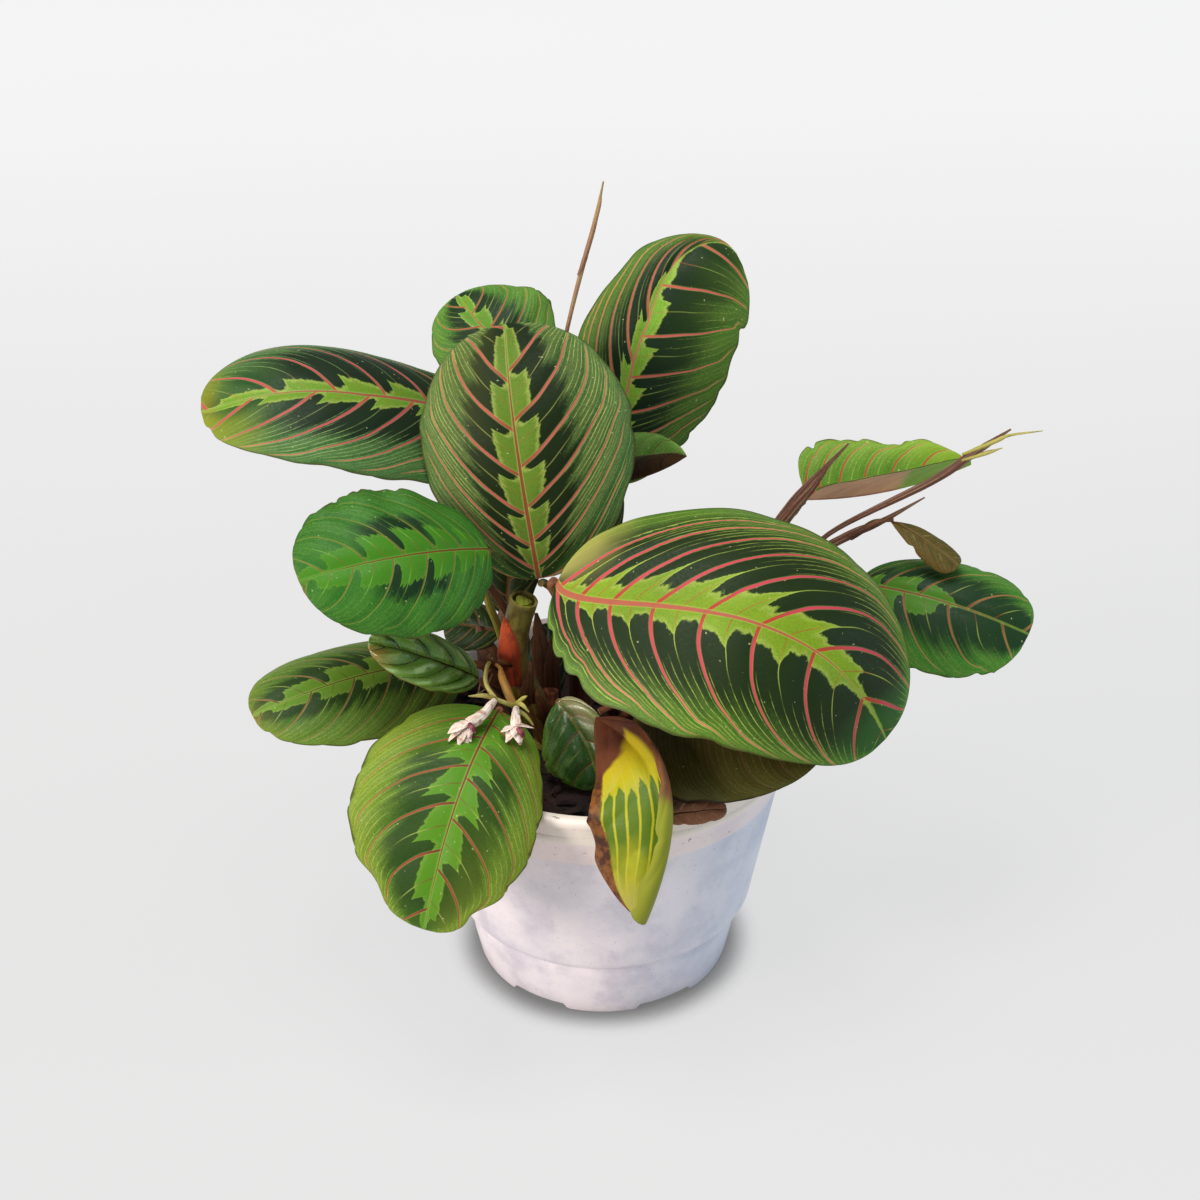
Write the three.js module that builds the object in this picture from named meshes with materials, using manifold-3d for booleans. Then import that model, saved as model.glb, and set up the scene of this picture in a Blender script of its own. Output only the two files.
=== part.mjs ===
// Potted prayer plant: a white plastic nursery pot of bark with a crown of thin stalks and broad veined leaves.
// Millimetres, +Z up, origin at the centre of the pot's flat underside, -Y towards the viewer.

import * as THREE from "three";
import Module from "manifold-3d";

const wasm = await Module();
wasm.setup();

// Pot
const POT_HEIGHT = 96;
const RIM_RADIUS = 66;
const RIM_INNER_RADIUS = 61.6;
const COLLAR_RADIUS = 64.6;
const BODY_TOP_RADIUS = 62.7;
const BODY_TOP_Z = 85;
const BODY_LOW_RADIUS = 52.5;
const BODY_LOW_Z = 28;
const GROOVE_RADIUS = 47.4;
const GROOVE_Z = 21.6;
const FOOT_RADIUS = 44.5;
const FLOOR_THICKNESS = 2.5;
const POT_SIDES = 48;
const NOTCH_COUNT = 6;
const NOTCH_FIRST_DEG = 29.5;
const NOTCH_HALF_DEG = 13.5;
const NOTCH_HEIGHT = 1.8;
const DRAIN_RADIUS = 3.5;
const DRAIN_RING_RADIUS = 26;

// Soil
const SOIL_TOP_Z = 86;
const SOIL_EDGE_Z = 84;
const HOLE_BOTTOM_Z = 73.6;
const HOLE_CLEARANCE = 0.5;

// Leaves and stalks
const BLADE_THICKNESS = 0.8;
const STALK_FOOT_Z = 74;
const STALK_FOOT_TOP_Z = 88;
const STALK_STEPS = 2;

// Each leaf: base and tip of the midrib, azimuth and elevation of the way it faces, full width, height of the
// arch, and what bends it. curl is in degrees: left at the base, left at the tip, right at the base, right at the tip.
// shear slides the halves along the leaf, at its base and at its tip.
const LEAVES = {
  leaf_big_right: {
    base: [-14, -22, 160], tip: [90, -44, 113.5], face: [10, 54], width: 93, arch: 24, skew: 0.35, sway: -9,
    widest: 0.52, power: 0.42, curl: [50, 40, 25, 30], shear: [0.36, 0.06], grid: [14, 8], color: 0x3f7a2c,
  },
  leaf_upright: {
    base: [-21, -8, 152], tip: [-32, 33, 223.5], face: [-3, 22], width: 73, arch: 15, skew: 0.25,
    widest: 0.54, power: 0.39, curl: [40, 35, 30, 30], bias: 0.08, grid: [12, 8], color: 0x3c5f2e,
  },
  leaf_top_right: {
    base: [3, 38, 163], tip: [47, 71, 229], face: [5, 28], width: 56, arch: 8, skew: 0.3, sway: -12,
    widest: 0.56, power: 0.4, curl: [35, 35, 40, 30], shear: [0.15, 0.15], bias: 0.08, color: 0x2f6a30,
  },
  leaf_far_left: {
    base: [-36, 46, 184], tip: [-130, 16, 200.5], face: [-8, 60], width: 68, arch: 16, skew: 0.5,
    widest: 0.44, power: 0.42, curl: [15, 15, 76, 56], grid: [12, 8], color: 0x356b2c,
  },
  leaf_mid_left: {
    base: [-37, -14, 166], tip: [-94, -40, 169], face: [-10, 42], width: 52, arch: 8,
    widest: 0.52, power: 0.42, curl: [25, 25, 25, 25], shear: [-0.15, -0.15], wave: [1.0, 4, 0.4], color: 0x3f8a34,
  },
  leaf_low_left: {
    base: [-50, 1, 114], tip: [-112, -41, 120], face: [-5, 58], width: 46, arch: 8,
    power: 0.45, curl: [20, 20, 60, 60], color: 0x4a7a30,
  },
  leaf_behind_top: {
    base: [-23, 65, 188.5], tip: [-51, 90, 210.5], face: [-5, 45], width: 46, arch: 6, sway: -2,
    curl: [20, 20, 20, 20], bias: 0.1, wave: [1.0, 2, 0.6], color: 0x3c7a34,
  },
  leaf_front_left: {
    base: [-34, -32, 116], tip: [-56, -86, 70], face: [-12, 22], width: 62, arch: 17,
    power: 0.42, curl: [60, 35, 0, 10], bias: 0.08, wave: [0.8, 2, 0.2], grid: [12, 8], color: 0x5a8a35,
  },
  leaf_shadow_right: {
    base: [13, -18, 110], tip: [70, -45, 107], face: [5, 66], width: 68, arch: 9,
    curl: [30, 30, 15, 15], shear: [0.12, 0.12], color: 0x2a3a20,
  },
  leaf_right: {
    base: [88, 27, 130], tip: [143, 4, 123.5], face: [12, 45], width: 45, arch: 7,
    widest: 0.56, power: 0.36, curl: [60, 40, 25, 25], bias: 0.12, shear: [0.1, 0.1], color: 0x2c6634,
  },
  leaf_yellow: {
    base: [-2.4, -34, 114.8], tip: [11, -84, 73], face: [0, 30], width: 36, arch: 18, skew: 0.2, sway: -14,
    widest: 0.62, curl: [-170, -330, -5, 30], bias: 0.3, grid: [14, 14], color: 0xc0a82a,
  },
  leaf_folded_right: {
    base: [70, 42, 155], tip: [126, 45, 167], face: [0, 88], width: 42, arch: -3, fold: 55,
    widest: 0.3, curl: [20, 20, 20, 20], shear: [-0.25, -0.25], grid: [12, 8], color: 0x5fa030,
  },
  leaf_behind_right: {
    base: [14, 44, 138], tip: [64, 84, 118], face: [150, 60], width: 44, arch: 8,
    curl: [30, 30, 30, 30], grid: [10, 6], color: 0x2c5a2a,
  },
  leaf_behind_middle: {
    base: [-22, 48, 148], tip: [-34, 104, 134], face: [180, 60], width: 46, arch: 10,
    curl: [30, 30, 30, 30], grid: [10, 6], color: 0x2f6a30,
  },
  leaf_young_glossy: {
    base: [-41, -20, 121], tip: [-75, -30, 141], face: [-10, 55], width: 20, arch: 3,
    curl: [25, 25, 25, 25], grid: [9, 6], color: 0x2f7a3c,
  },
  leaf_small_front: {
    base: [-15, -20, 112], tip: [-1, -36, 88], face: [-12, 32], width: 27, arch: 3, sway: -3,
    widest: 0.55, power: 0.38, curl: [-30, -30, 25, 25], bias: 0.3, grid: [10, 8], color: 0x356a30,
  },
  leaf_withered_rim: {
    base: [19, -63.4, 97.2], tip: [39, -59.6, 97.2], face: [15, 50], width: 12, arch: 1,
    curl: [30, 30, 30, 30], grid: [8, 6], color: 0x8a5a50,
  },
  leaf_withered_right: {
    base: [98, 30, 152.5], tip: [120, 18, 142], face: [30, 40], width: 13, arch: 2,
    widest: 0.68, curl: [60, 60, 60, 60], grid: [8, 6], color: 0x6a5a2c,
  },
  leaf_rolled_small: {
    base: [-2, 25, 170], tip: [27, 13, 186], face: [0, 88], width: 32, arch: -2, fold: 55,
    widest: 0.35, power: 0.6, curl: [20, 20, 20, 20], grid: [9, 6], color: 0x4a8a3c,
  },
  leaf_dark_behind_stalks: {
    base: [-33, 20, 122], tip: [-31, 36, 156], face: [0, 30], width: 22, arch: 3,
    curl: [20, 20, 20, 20], grid: [8, 4], color: 0x1f4024,
  },
  leaf_dark_low: {
    base: [-35, 18, 116], tip: [-55, 28, 113], face: [-10, 50], width: 18, arch: 3,
    curl: [20, 20, 20, 20], grid: [8, 4], color: 0x22482a,
  },
  leaf_dark_by_stalk: {
    base: [-20, 5, 94], tip: [-19, 14, 122], face: [0, 20], width: 14, arch: 3,
    curl: [20, 20, 20, 20], grid: [8, 4], color: 0x1f4a2c,
  },
  leaf_dark_narrow: {
    base: [-6, 24, 138], tip: [3, 34, 166], face: [0, 35], width: 16, arch: 3,
    curl: [30, 30, 30, 30], grid: [8, 4], color: 0x1f4024,
  },
};

// Each shoot is one fused piece: its foot in the soil (x, y, radius) and its stalks as x, y, z, radius along the way.
const SHOOTS = {
  stalk_main: {
    foot: [-19, -3, 4.8],
    sides: 9,
    color: 0x8a6a40,
    stalks: [
      [[-19, -3, 86.8, 4.6], [-22.5, -4, 100, 4.2], [-27, -5.5, 113, 3.9], [-29, -6.5, 123, 3.9],
        [-28.5, -7, 133, 4.3], [-26, -8, 144, 4.8]],
      [[-30, -8, 110, 3.2], [-32.6, -9.4, 120, 3.6], [-32.2, -11, 129, 2.6], [-30.4, -11.8, 139, 0.6]],
      [[-30, -5, 120, 1.8], [-31, -3, 134, 1.5], [-38, -6, 150, 1.4], [-38, -11, 160, 1.3], [-37, -13.6, 164.9, 1.2]],
      [[-18.5, -3, 90, 2.8], [-18, -1.5, 97, 2.8], [-18, -0.5, 104, 2.8]],
      [[-19, -3, 90, 2], [-20, 2.5, 91, 1.2], [-20, 4.6, 93.2, 0.9]],
    ],
  },
  stalk_back: {
    foot: [-8, 16, 4],
    sides: 7,
    color: 0x7a7040,
    stalks: [
      [[-8, 16, 86.8, 3.9], [-9, 20, 110, 3.2], [-9, 24, 130, 2.6]],
      [[-8, 17, 96, 1.8], [-11, 9, 120, 1.4], [-16, -1, 142, 1.3], [-19, -6, 149, 1.3], [-20.4, -8.4, 150.4, 1.2]],
      [[-9, 20, 110, 1.6], [-2, 28, 135, 1.4], [3, 38, 151, 1.3], [2.9, 38, 162, 1.2]],
      [[-9, 24, 126, 1.5], [-14, 44, 152, 1.4], [-19, 58, 174, 1.3], [-22.4, 64.4, 187.5, 1.2]],
      [[-9, 24, 126, 1.5], [-15, 32, 160, 1.3], [-17, 37, 190, 1.2], [-12.5, 40, 216, 1.1], [-7, 45, 238, 1],
        [0, 50, 266, 0.6]],
      [[-9, 21, 114, 1.4], [-5, 17, 138, 1.2], [-3.5, 19, 156, 1.1], [-2.4, 24.4, 169.2, 1]],
      [[-9, 21, 116, 1.4], [-8, 23, 130, 1.2], [-6.3, 23.9, 137.2, 1.1]],
      [[-9, 22, 118, 1.6], [-14, 36, 140, 1.4], [-20, 44, 148, 1.3], [-21.8, 47, 148, 1.2]],
    ],
  },
  stalk_right: {
    foot: [8, 10, 4],
    sides: 7,
    color: 0x7a5a44,
    stalks: [
      [[8, 10, 87.4, 3.5], [12.6, 12, 94, 3.3], [22, 16, 104, 3], [44, 24, 130, 2.4], [54, 29, 143, 2.2],
        [62, 32, 154, 2.6], [68, 30, 165, 1.8], [81, 24, 185, 0.4]],
      [[22, 16, 104, 2], [48, 34, 134, 1.5], [62, 40, 149, 1.4], [69.2, 41.8, 154.6, 1.2]],
      [[22, 16, 104, 2], [50, 26, 124, 1.6], [68, 30, 138, 1.3], [80, 32, 149, 1.3], [109, 22, 172, 1.4],
        [132, 14, 195, 0.5]],
      [[50, 26, 124, 2], [70, 29, 139, 1.8], [85, 30, 148, 1.8], [94, 29, 153, 1.4], [108, 26, 164, 0.4]],
      [[88, 30, 149.5, 1], [92, 30, 152.6, 0.8], [97.2, 30.2, 153.1, 0.6]],
      [[22, 16, 104, 2], [50, 22, 118, 1.5], [76, 26, 129, 1.4], [86.8, 27.2, 130.2, 1.2]],
      [[10, 12, 94, 2], [12, 30, 125, 1.5], [12, 38, 137, 1.3], [13.2, 43.2, 138.2, 1.2]],
    ],
  },
  stalk_front_right: {
    foot: [6, -6, 3.4],
    sides: 7,
    color: 0x7a6a3c,
    stalks: [
      [[6, -6, 86.8, 3.3], [2, -10, 108, 2], [-8, -17, 140, 1.7], [-16, -20.5, 155, 1.6], [-15.6, -21.8, 159.1, 1.4]],
      [[6, -6, 90, 2.4], [9, -12, 102, 1.8], [12.4, -17.4, 109.4, 1.4]],
      [[6, -6, 90, 2], [13, -26, 93, 1.2], [18, -48, 97.4, 0.9], [18, -60.8, 98.5, 0.8]],
    ],
  },
  stalk_left: {
    foot: [-28, 10, 3.4],
    sides: 7,
    color: 0x8a8a3c,
    stalks: [
      [[-28, 10, 86.8, 3.3], [-31, 8, 106, 2.4], [-35, 5, 125, 1.5], [-39, 6, 138, 1.4], [-42, 18, 156, 1.4],
        [-39, 38, 174, 1.4], [-34.8, 47.4, 182.9, 1.3]],
      [[-30, 9, 98, 1.8], [-40, 5, 110, 1.4], [-49.1, 1.6, 113.7, 1.2]],
      [[-29, 10, 100, 1.6], [-32, 15, 112, 1.2], [-33.1, 19.5, 121.2, 1]],
      [[-29, 10, 98, 1.6], [-32, 15, 108, 1.1], [-34.4, 17.6, 115.2, 0.9]],
    ],
  },
  stalk_front_left: {
    foot: [-29, -16, 2.8],
    sides: 7,
    color: 0x7a5a3c,
    stalks: [
      [[-29, -16, 86.8, 2.7], [-31, -22, 102, 1.8], [-33.5, -28, 113, 1.5], [-33.9, -31, 115.8, 1.3]],
      [[-29, -16, 94, 1.6], [-34, -18, 110, 1.2], [-40.2, -19.8, 120.4, 1]],
    ],
  },
  stalk_small: {
    foot: [-4, -16, 2.6],
    sides: 7,
    color: 0x8a7a50,
    stalks: [
      [[-4, -16, 86.8, 2.5], [-8, -17, 100, 1.6], [-13, -18, 109, 1.3], [-15.1, -18.5, 111.4, 1.1]],
      [[-4, -16, 90, 2], [5, -17, 102, 1.5], [9, -24, 112.5, 1.3], [4, -30, 117.6, 1.3], [-1.4, -32.8, 116.4, 1.2]],
    ],
  },
};

// The flower stalk and its two withered flowers stand clear of the main stalk and the leaf below them.
const FLOWER_STALK = [
  [[-37, -11.6, 123.4, 0.7], [-38.2, -19, 124.2, 0.7], [-38, -27, 123.4, 0.7], [-34.6, -34, 122, 0.7]],
  [[-35.6, -14, 122.9, 0.6], [-33.8, -17.6, 123.6, 0.7], [-33, -22, 122.5, 1.3], [-30.8, -27, 119.5, 1.4],
    [-28.6, -31, 117, 1]],
  [[-28.6, -31, 117.4, 0.9], [-31, -33.5, 120, 0.8], [-34.6, -34, 122, 0.7]],
];
const FLOWER_LEFT = [
  [-35, -35.4, 122.3, 0.9], [-38, -42, 121.8, 1.8], [-41, -45, 121.6, 2.2], [-46, -49, 121, 2.5],
];
const FLOWER_RIGHT = [
  [-28.2, -33.4, 118.1, 0.9], [-28, -40, 119, 1.5], [-27, -45, 118, 2.1], [-25.6, -48, 115.6, 2.2],
];

const radians = (degrees) => (degrees * Math.PI) / 180;

// Frame of a leaf: where it starts, along its chord, out of its upper face, and to its right.
function leafFrame(leaf) {
  const base = new THREE.Vector3(...leaf.base);
  const chord = new THREE.Vector3(...leaf.tip).sub(base);
  const length = chord.length();
  const along = chord.clone().divideScalar(length);
  const az = radians(leaf.face[0]);
  const el = radians(leaf.face[1]);
  const out = new THREE.Vector3(Math.sin(az) * Math.cos(el), -Math.cos(az) * Math.cos(el), Math.sin(el));
  out.addScaledVector(along, -out.dot(along)).normalize();
  const right = new THREE.Vector3().crossVectors(along, out);
  return { base, length, along, out, right };
}

// Point of a leaf's middle surface: t runs from base to tip, s from the left margin (-1) to the right one (+1).
function leafPoint(leaf, frame, t, s) {
  const arch = leaf.arch ?? 0;
  const skew = leaf.skew ?? 0;
  const sway = leaf.sway ?? 0;
  const hump = 4 * t * (1 - t);
  const tilt = 1 + skew * (2 * t - 1);
  const middle = frame.base.clone();
  middle.addScaledVector(frame.along, frame.length * t);
  middle.addScaledVector(frame.out, arch * hump * tilt);
  middle.addScaledVector(frame.right, sway * hump);
  const tangent = frame.along.clone().multiplyScalar(frame.length);
  tangent.addScaledVector(frame.out, arch * ((4 - 8 * t) * tilt + hump * 2 * skew));
  tangent.addScaledVector(frame.right, sway * (4 - 8 * t));
  tangent.normalize();
  const normal = frame.out.clone().addScaledVector(tangent, -tangent.dot(frame.out)).normalize();
  const side = new THREE.Vector3().crossVectors(tangent, normal);
  const onRight = s > 0;
  const warped = t ** (Math.log(0.5) / Math.log(leaf.widest ?? 0.5));
  const share = onRight ? 1 + (leaf.bias ?? 0) : 1 - (leaf.bias ?? 0);
  const half = leaf.width / 2;
  const reach = half * Math.max(4 * warped * (1 - warped), 0) ** (leaf.power ?? 0.5) * share;
  const curl = leaf.curl;
  const first = onRight ? curl[2] : curl[0];
  const last = onRight ? curl[3] : curl[1];
  const turned = radians(first + (last - first) * t);
  const bend = Math.abs(turned) < 0.001 ? 0.001 : turned;
  const y = Math.abs(s) * reach;
  const radius = half / bend;
  const flat = radius * Math.sin(y / radius);
  const drop = radius * (1 - Math.cos(y / radius));
  const fold = radians(leaf.fold ?? 0);
  const lateral = flat * Math.cos(fold) + drop * Math.sin(fold);
  const wave = leaf.wave ?? [0, 3, 0];
  const ripple = wave[0] * s * s * Math.sin(2 * Math.PI * wave[1] * t + wave[2] + (onRight ? 0 : 2));
  const up = flat * Math.sin(fold) - drop * Math.cos(fold) + ripple * Math.sqrt(Math.sin(Math.PI * t));
  const sign = Math.sign(s);
  const shear = leaf.shear ?? [0, 0];
  middle.addScaledVector(side, sign * lateral);
  middle.addScaledVector(normal, up);
  middle.addScaledVector(tangent, -(shear[0] + (shear[1] - shear[0]) * t) * sign * y);
  return middle;
}

function leafNormal(leaf, frame, t, s) {
  const step = 0.004;
  const tc = Math.min(Math.max(t, 0.03), 0.97);
  const dt = leafPoint(leaf, frame, tc + step, s).sub(leafPoint(leaf, frame, tc - step, s));
  const ds = leafPoint(leaf, frame, tc, s + step).sub(leafPoint(leaf, frame, tc, s - step));
  return dt.cross(ds).normalize();
}

// A closed blade: an upper and a lower face split alike, joined round the margin.
function bladeGeometry(leaf) {
  const [rows, columns] = leaf.grid ?? [12, 6];
  const frame = leafFrame(leaf);
  const positions = [];
  const faces = [];
  const grid = [];
  for (const face of [0.5, -0.5]) {
    const sheet = [];
    for (let i = 0; i <= rows; i++) {
      const t = (1 - Math.cos((Math.PI * i) / rows)) / 2;
      const row = [];
      const single = i === 0 || i === rows;
      for (let j = 0; j <= columns; j++) {
        if (single && j > 0) {
          row.push(row[0]);
          continue;
        }
        const s = single ? 0 : (2 * j) / columns - 1;
        const point = leafPoint(leaf, frame, t, s);
        point.addScaledVector(leafNormal(leaf, frame, t, s), face * BLADE_THICKNESS);
        row.push(positions.length / 3);
        positions.push(point.x, point.y, point.z);
      }
      sheet.push(row);
    }
    grid.push(sheet);
  }
  const add = (a, b, c) => {
    if (a !== b && b !== c && a !== c) faces.push(a, b, c);
  };
  for (let i = 0; i < rows; i++) {
    for (let j = 0; j < columns; j++) {
      const [top, under] = grid;
      add(top[i][j], top[i + 1][j], top[i + 1][j + 1]);
      add(top[i][j], top[i + 1][j + 1], top[i][j + 1]);
      add(under[i][j], under[i + 1][j + 1], under[i + 1][j]);
      add(under[i][j], under[i][j + 1], under[i + 1][j + 1]);
    }
    for (const [j, order] of [[0, 1], [columns, -1]]) {
      const [top, under] = grid;
      const loop = [top[i][j], top[i + 1][j], under[i + 1][j], under[i][j]];
      if (order > 0) loop.reverse();
      add(loop[0], loop[1], loop[2]);
      add(loop[0], loop[2], loop[3]);
    }
  }
  const geometry = new THREE.BufferGeometry();
  geometry.setAttribute("position", new THREE.Float32BufferAttribute(positions, 3));
  geometry.setIndex(faces);
  geometry.computeVertexNormals();
  return geometry;
}

// Smooth path through the given points, radius included.
function smoothPath(points, steps) {
  const path = [];
  const last = points.length - 1;
  const blend = (a, b, c, d, u) =>
    0.5 * (2 * b + (c - a) * u + (2 * a - 5 * b + 4 * c - d) * u * u + (3 * b - a - 3 * c + d) * u * u * u);
  for (let i = 0; i < last; i++) {
    const b = points[i];
    const c = points[i + 1];
    const a = i > 0 ? points[i - 1] : b.map((v, k) => 2 * v - c[k]);
    const d = i < last - 1 ? points[i + 2] : c.map((v, k) => 2 * v - b[k]);
    for (let k = 0; k < steps; k++) {
      path.push(b.map((_, n) => blend(a[n], b[n], c[n], d[n], k / steps)));
    }
  }
  path.push(points[last]);
  return path;
}

// A closed tube with flat ends along the smooth path.
function tubeGeometry(points, sides, steps = STALK_STEPS) {
  const path = smoothPath(points, steps);
  const centres = path.map((p) => new THREE.Vector3(p[0], p[1], p[2]));
  const positions = [];
  const faces = [];
  let across = new THREE.Vector3(1, 0, 0);
  centres.forEach((centre, i) => {
    const ahead = centres[Math.min(i + 1, centres.length - 1)];
    const behind = centres[Math.max(i - 1, 0)];
    const direction = ahead.clone().sub(behind).normalize();
    across = across.clone().addScaledVector(direction, -across.dot(direction)).normalize();
    const other = new THREE.Vector3().crossVectors(direction, across);
    for (let k = 0; k < sides; k++) {
      const angle = (2 * Math.PI * k) / sides;
      const point = centre.clone();
      point.addScaledVector(across, Math.cos(angle) * path[i][3]);
      point.addScaledVector(other, Math.sin(angle) * path[i][3]);
      positions.push(point.x, point.y, point.z);
    }
  });
  const rings = centres.length;
  for (let i = 0; i < rings - 1; i++) {
    for (let k = 0; k < sides; k++) {
      const a = i * sides + k;
      const b = i * sides + ((k + 1) % sides);
      faces.push(a, b, b + sides, a, b + sides, a + sides);
    }
  }
  for (const [ring, centre, flip] of [[0, centres[0], true], [rings - 1, centres[rings - 1], false]]) {
    const hub = positions.length / 3;
    positions.push(centre.x, centre.y, centre.z);
    for (let k = 0; k < sides; k++) {
      const a = ring * sides + k;
      const b = ring * sides + ((k + 1) % sides);
      if (flip) faces.push(hub, b, a);
      else faces.push(hub, a, b);
    }
  }
  const geometry = new THREE.BufferGeometry();
  geometry.setAttribute("position", new THREE.Float32BufferAttribute(positions, 3));
  geometry.setIndex(faces);
  return geometry;
}

// Between three.js geometry and solids that can be joined and cut.
function solidOf(geometry) {
  const index = geometry.index.array;
  return new wasm.Manifold(
    new wasm.Mesh({
      numProp: 3,
      vertProperties: new Float32Array(geometry.attributes.position.array),
      triVerts: new Uint32Array(index),
    }),
  );
}

function geometryOf(solid) {
  const mesh = solid.getMesh();
  const geometry = new THREE.BufferGeometry();
  const positions = [];
  for (let i = 0; i < mesh.vertProperties.length; i += mesh.numProp) {
    positions.push(mesh.vertProperties[i], mesh.vertProperties[i + 1], mesh.vertProperties[i + 2]);
  }
  geometry.setAttribute("position", new THREE.Float32BufferAttribute(positions, 3));
  geometry.setIndex(Array.from(mesh.triVerts));
  geometry.computeVertexNormals();
  return geometry;
}

// A solid of revolution about Z from a closed half profile of radius and height.
function turned(profile, sides) {
  return wasm.Manifold.revolve([profile], sides);
}

function post(x, y, z0, z1, radius, sides) {
  return wasm.Manifold.cylinder(z1 - z0, radius, radius, sides).translate([x, y, z0]);
}

function potSolid() {
  const profile = [
    [0, 0], [FOOT_RADIUS - 1.8, 0], [FOOT_RADIUS, 1.6], [46.3, 10], [47.9, 19.2], [GROOVE_RADIUS, GROOVE_Z],
    [49.6, 24], [BODY_LOW_RADIUS, BODY_LOW_Z], [BODY_TOP_RADIUS, BODY_TOP_Z], [COLLAR_RADIUS - 0.5, BODY_TOP_Z + 0.5],
    [COLLAR_RADIUS, 92.4], [RIM_RADIUS, 93], [RIM_RADIUS, 95.2], [RIM_RADIUS - 0.8, POT_HEIGHT],
    [RIM_INNER_RADIUS + 0.6, POT_HEIGHT], [RIM_INNER_RADIUS, 95.3], [60.9, BODY_TOP_Z + 1], [51, 30], [45.6, 21.8],
    [42.6, FLOOR_THICKNESS], [0, FLOOR_THICKNESS],
  ];
  let pot = turned(profile, POT_SIDES);
  for (let i = 0; i < NOTCH_COUNT; i++) {
    const middle = NOTCH_FIRST_DEG + (i * 360) / NOTCH_COUNT - 90;
    const wedge = [[39.5, -1], [50, -1], [50, NOTCH_HEIGHT], [39.5, NOTCH_HEIGHT]];
    const notch = wasm.Manifold.revolve([wedge], 4, 2 * NOTCH_HALF_DEG);
    pot = pot.subtract(notch.rotate([0, 0, middle - NOTCH_HALF_DEG]));
    const a = radians(middle);
    const x = Math.cos(a) * DRAIN_RING_RADIUS;
    const y = Math.sin(a) * DRAIN_RING_RADIUS;
    pot = pot.subtract(post(x, y, -1, FLOOR_THICKNESS + 1, DRAIN_RADIUS, 12));
  }
  return pot;
}

function soilSolid() {
  const profile = [
    [0, FLOOR_THICKNESS + 0.4], [42.1, FLOOR_THICKNESS + 0.4], [45.1, 21.9], [50.5, 30.1], [60.1, SOIL_EDGE_Z - 0.6],
    [59.4, SOIL_EDGE_Z], [48, 85], [30, 85.6], [0, SOIL_TOP_Z],
  ];
  let soil = turned(profile, POT_SIDES);
  for (const shoot of Object.values(SHOOTS)) {
    const [x, y, radius] = shoot.foot;
    soil = soil.subtract(post(x, y, HOLE_BOTTOM_Z, 100, radius + HOLE_CLEARANCE, 14));
  }
  return soil;
}

function shootSolid(name, shoot) {
  const [x, y, radius] = shoot.foot;
  let solid = post(x, y, STALK_FOOT_Z, STALK_FOOT_TOP_Z, radius, 14);
  shoot.stalks.forEach((stalk, i) => {
    const thick = Math.max(...stalk.map((p) => p[3]));
    const sides = i === 0 && name === "stalk_main" ? 14 : thick < 2.1 ? 6 : shoot.sides;
    solid = solid.add(solidOf(tubeGeometry(stalk, sides)));
  });
  if (name === "stalk_main") {
    // The cut sheath: a ring-shaped gap round the stub of stem inside it.
    const bore = tubeGeometry([[-27.2, -7.6, 139, 3.8], [-25.4, -8.2, 146.4, 3.8]], 14);
    const core = tubeGeometry([[-27.9, -7.4, 136, 2.7], [-26.1, -8, 143.4, 2.7]], 12);
    solid = solid.subtract(solidOf(bore)).add(solidOf(core));
  }
  return solid;
}

const part = new THREE.Group();
part.name = "potted_prayer_plant";

function place(name, geometry, color, roughness) {
  const material = new THREE.MeshStandardMaterial({ color, roughness, metalness: 0, side: THREE.DoubleSide });
  const mesh = new THREE.Mesh(geometry, material);
  mesh.name = name;
  part.add(mesh);
}

place("pot", geometryOf(potSolid()), 0xe4e0e2, 0.45);
place("soil", geometryOf(soilSolid()), 0x3a2a22, 0.95);
for (const [name, shoot] of Object.entries(SHOOTS)) {
  place(name, geometryOf(shootSolid(name, shoot)), shoot.color, 0.6);
}
for (const [name, leaf] of Object.entries(LEAVES)) {
  place(name, bladeGeometry(leaf), leaf.color, 0.5);
}
const flowerStalk = FLOWER_STALK.map((path) => solidOf(tubeGeometry(path, 6))).reduce((a, b) => a.add(b));
place("flower_stalk", geometryOf(flowerStalk), 0xd8c870, 0.6);
place("flower_left", tubeGeometry(FLOWER_LEFT, 8), 0xe6d2c8, 0.7);
place("flower_right", tubeGeometry(FLOWER_RIGHT, 8), 0xe6d2c8, 0.7);

export default part;
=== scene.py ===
"""Potted prayer plant: white nursery pot, bark, thin stalks and broad veined leaves. Tables in mm, scene in metres."""
import math
import random

import bmesh
import bpy
import numpy as np
from mathutils import Matrix, Vector, noise


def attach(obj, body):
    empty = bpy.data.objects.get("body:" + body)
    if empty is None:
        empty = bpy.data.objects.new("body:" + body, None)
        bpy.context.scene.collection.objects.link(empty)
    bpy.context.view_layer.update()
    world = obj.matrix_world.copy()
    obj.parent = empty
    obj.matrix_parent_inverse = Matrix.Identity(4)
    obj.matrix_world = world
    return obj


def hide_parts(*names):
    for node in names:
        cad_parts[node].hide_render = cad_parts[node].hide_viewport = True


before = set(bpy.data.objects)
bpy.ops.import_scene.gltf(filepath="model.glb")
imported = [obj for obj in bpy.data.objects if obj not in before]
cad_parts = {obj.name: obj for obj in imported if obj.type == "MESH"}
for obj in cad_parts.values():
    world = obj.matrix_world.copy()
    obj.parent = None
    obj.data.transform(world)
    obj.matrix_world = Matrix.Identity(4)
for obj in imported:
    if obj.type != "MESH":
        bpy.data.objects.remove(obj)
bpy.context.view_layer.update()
MM = 0.001
LEAF_DIM = (0.76, 0.76, 0.5)
STALK_DIM = (0.85, 0.8, 0.65)

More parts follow.
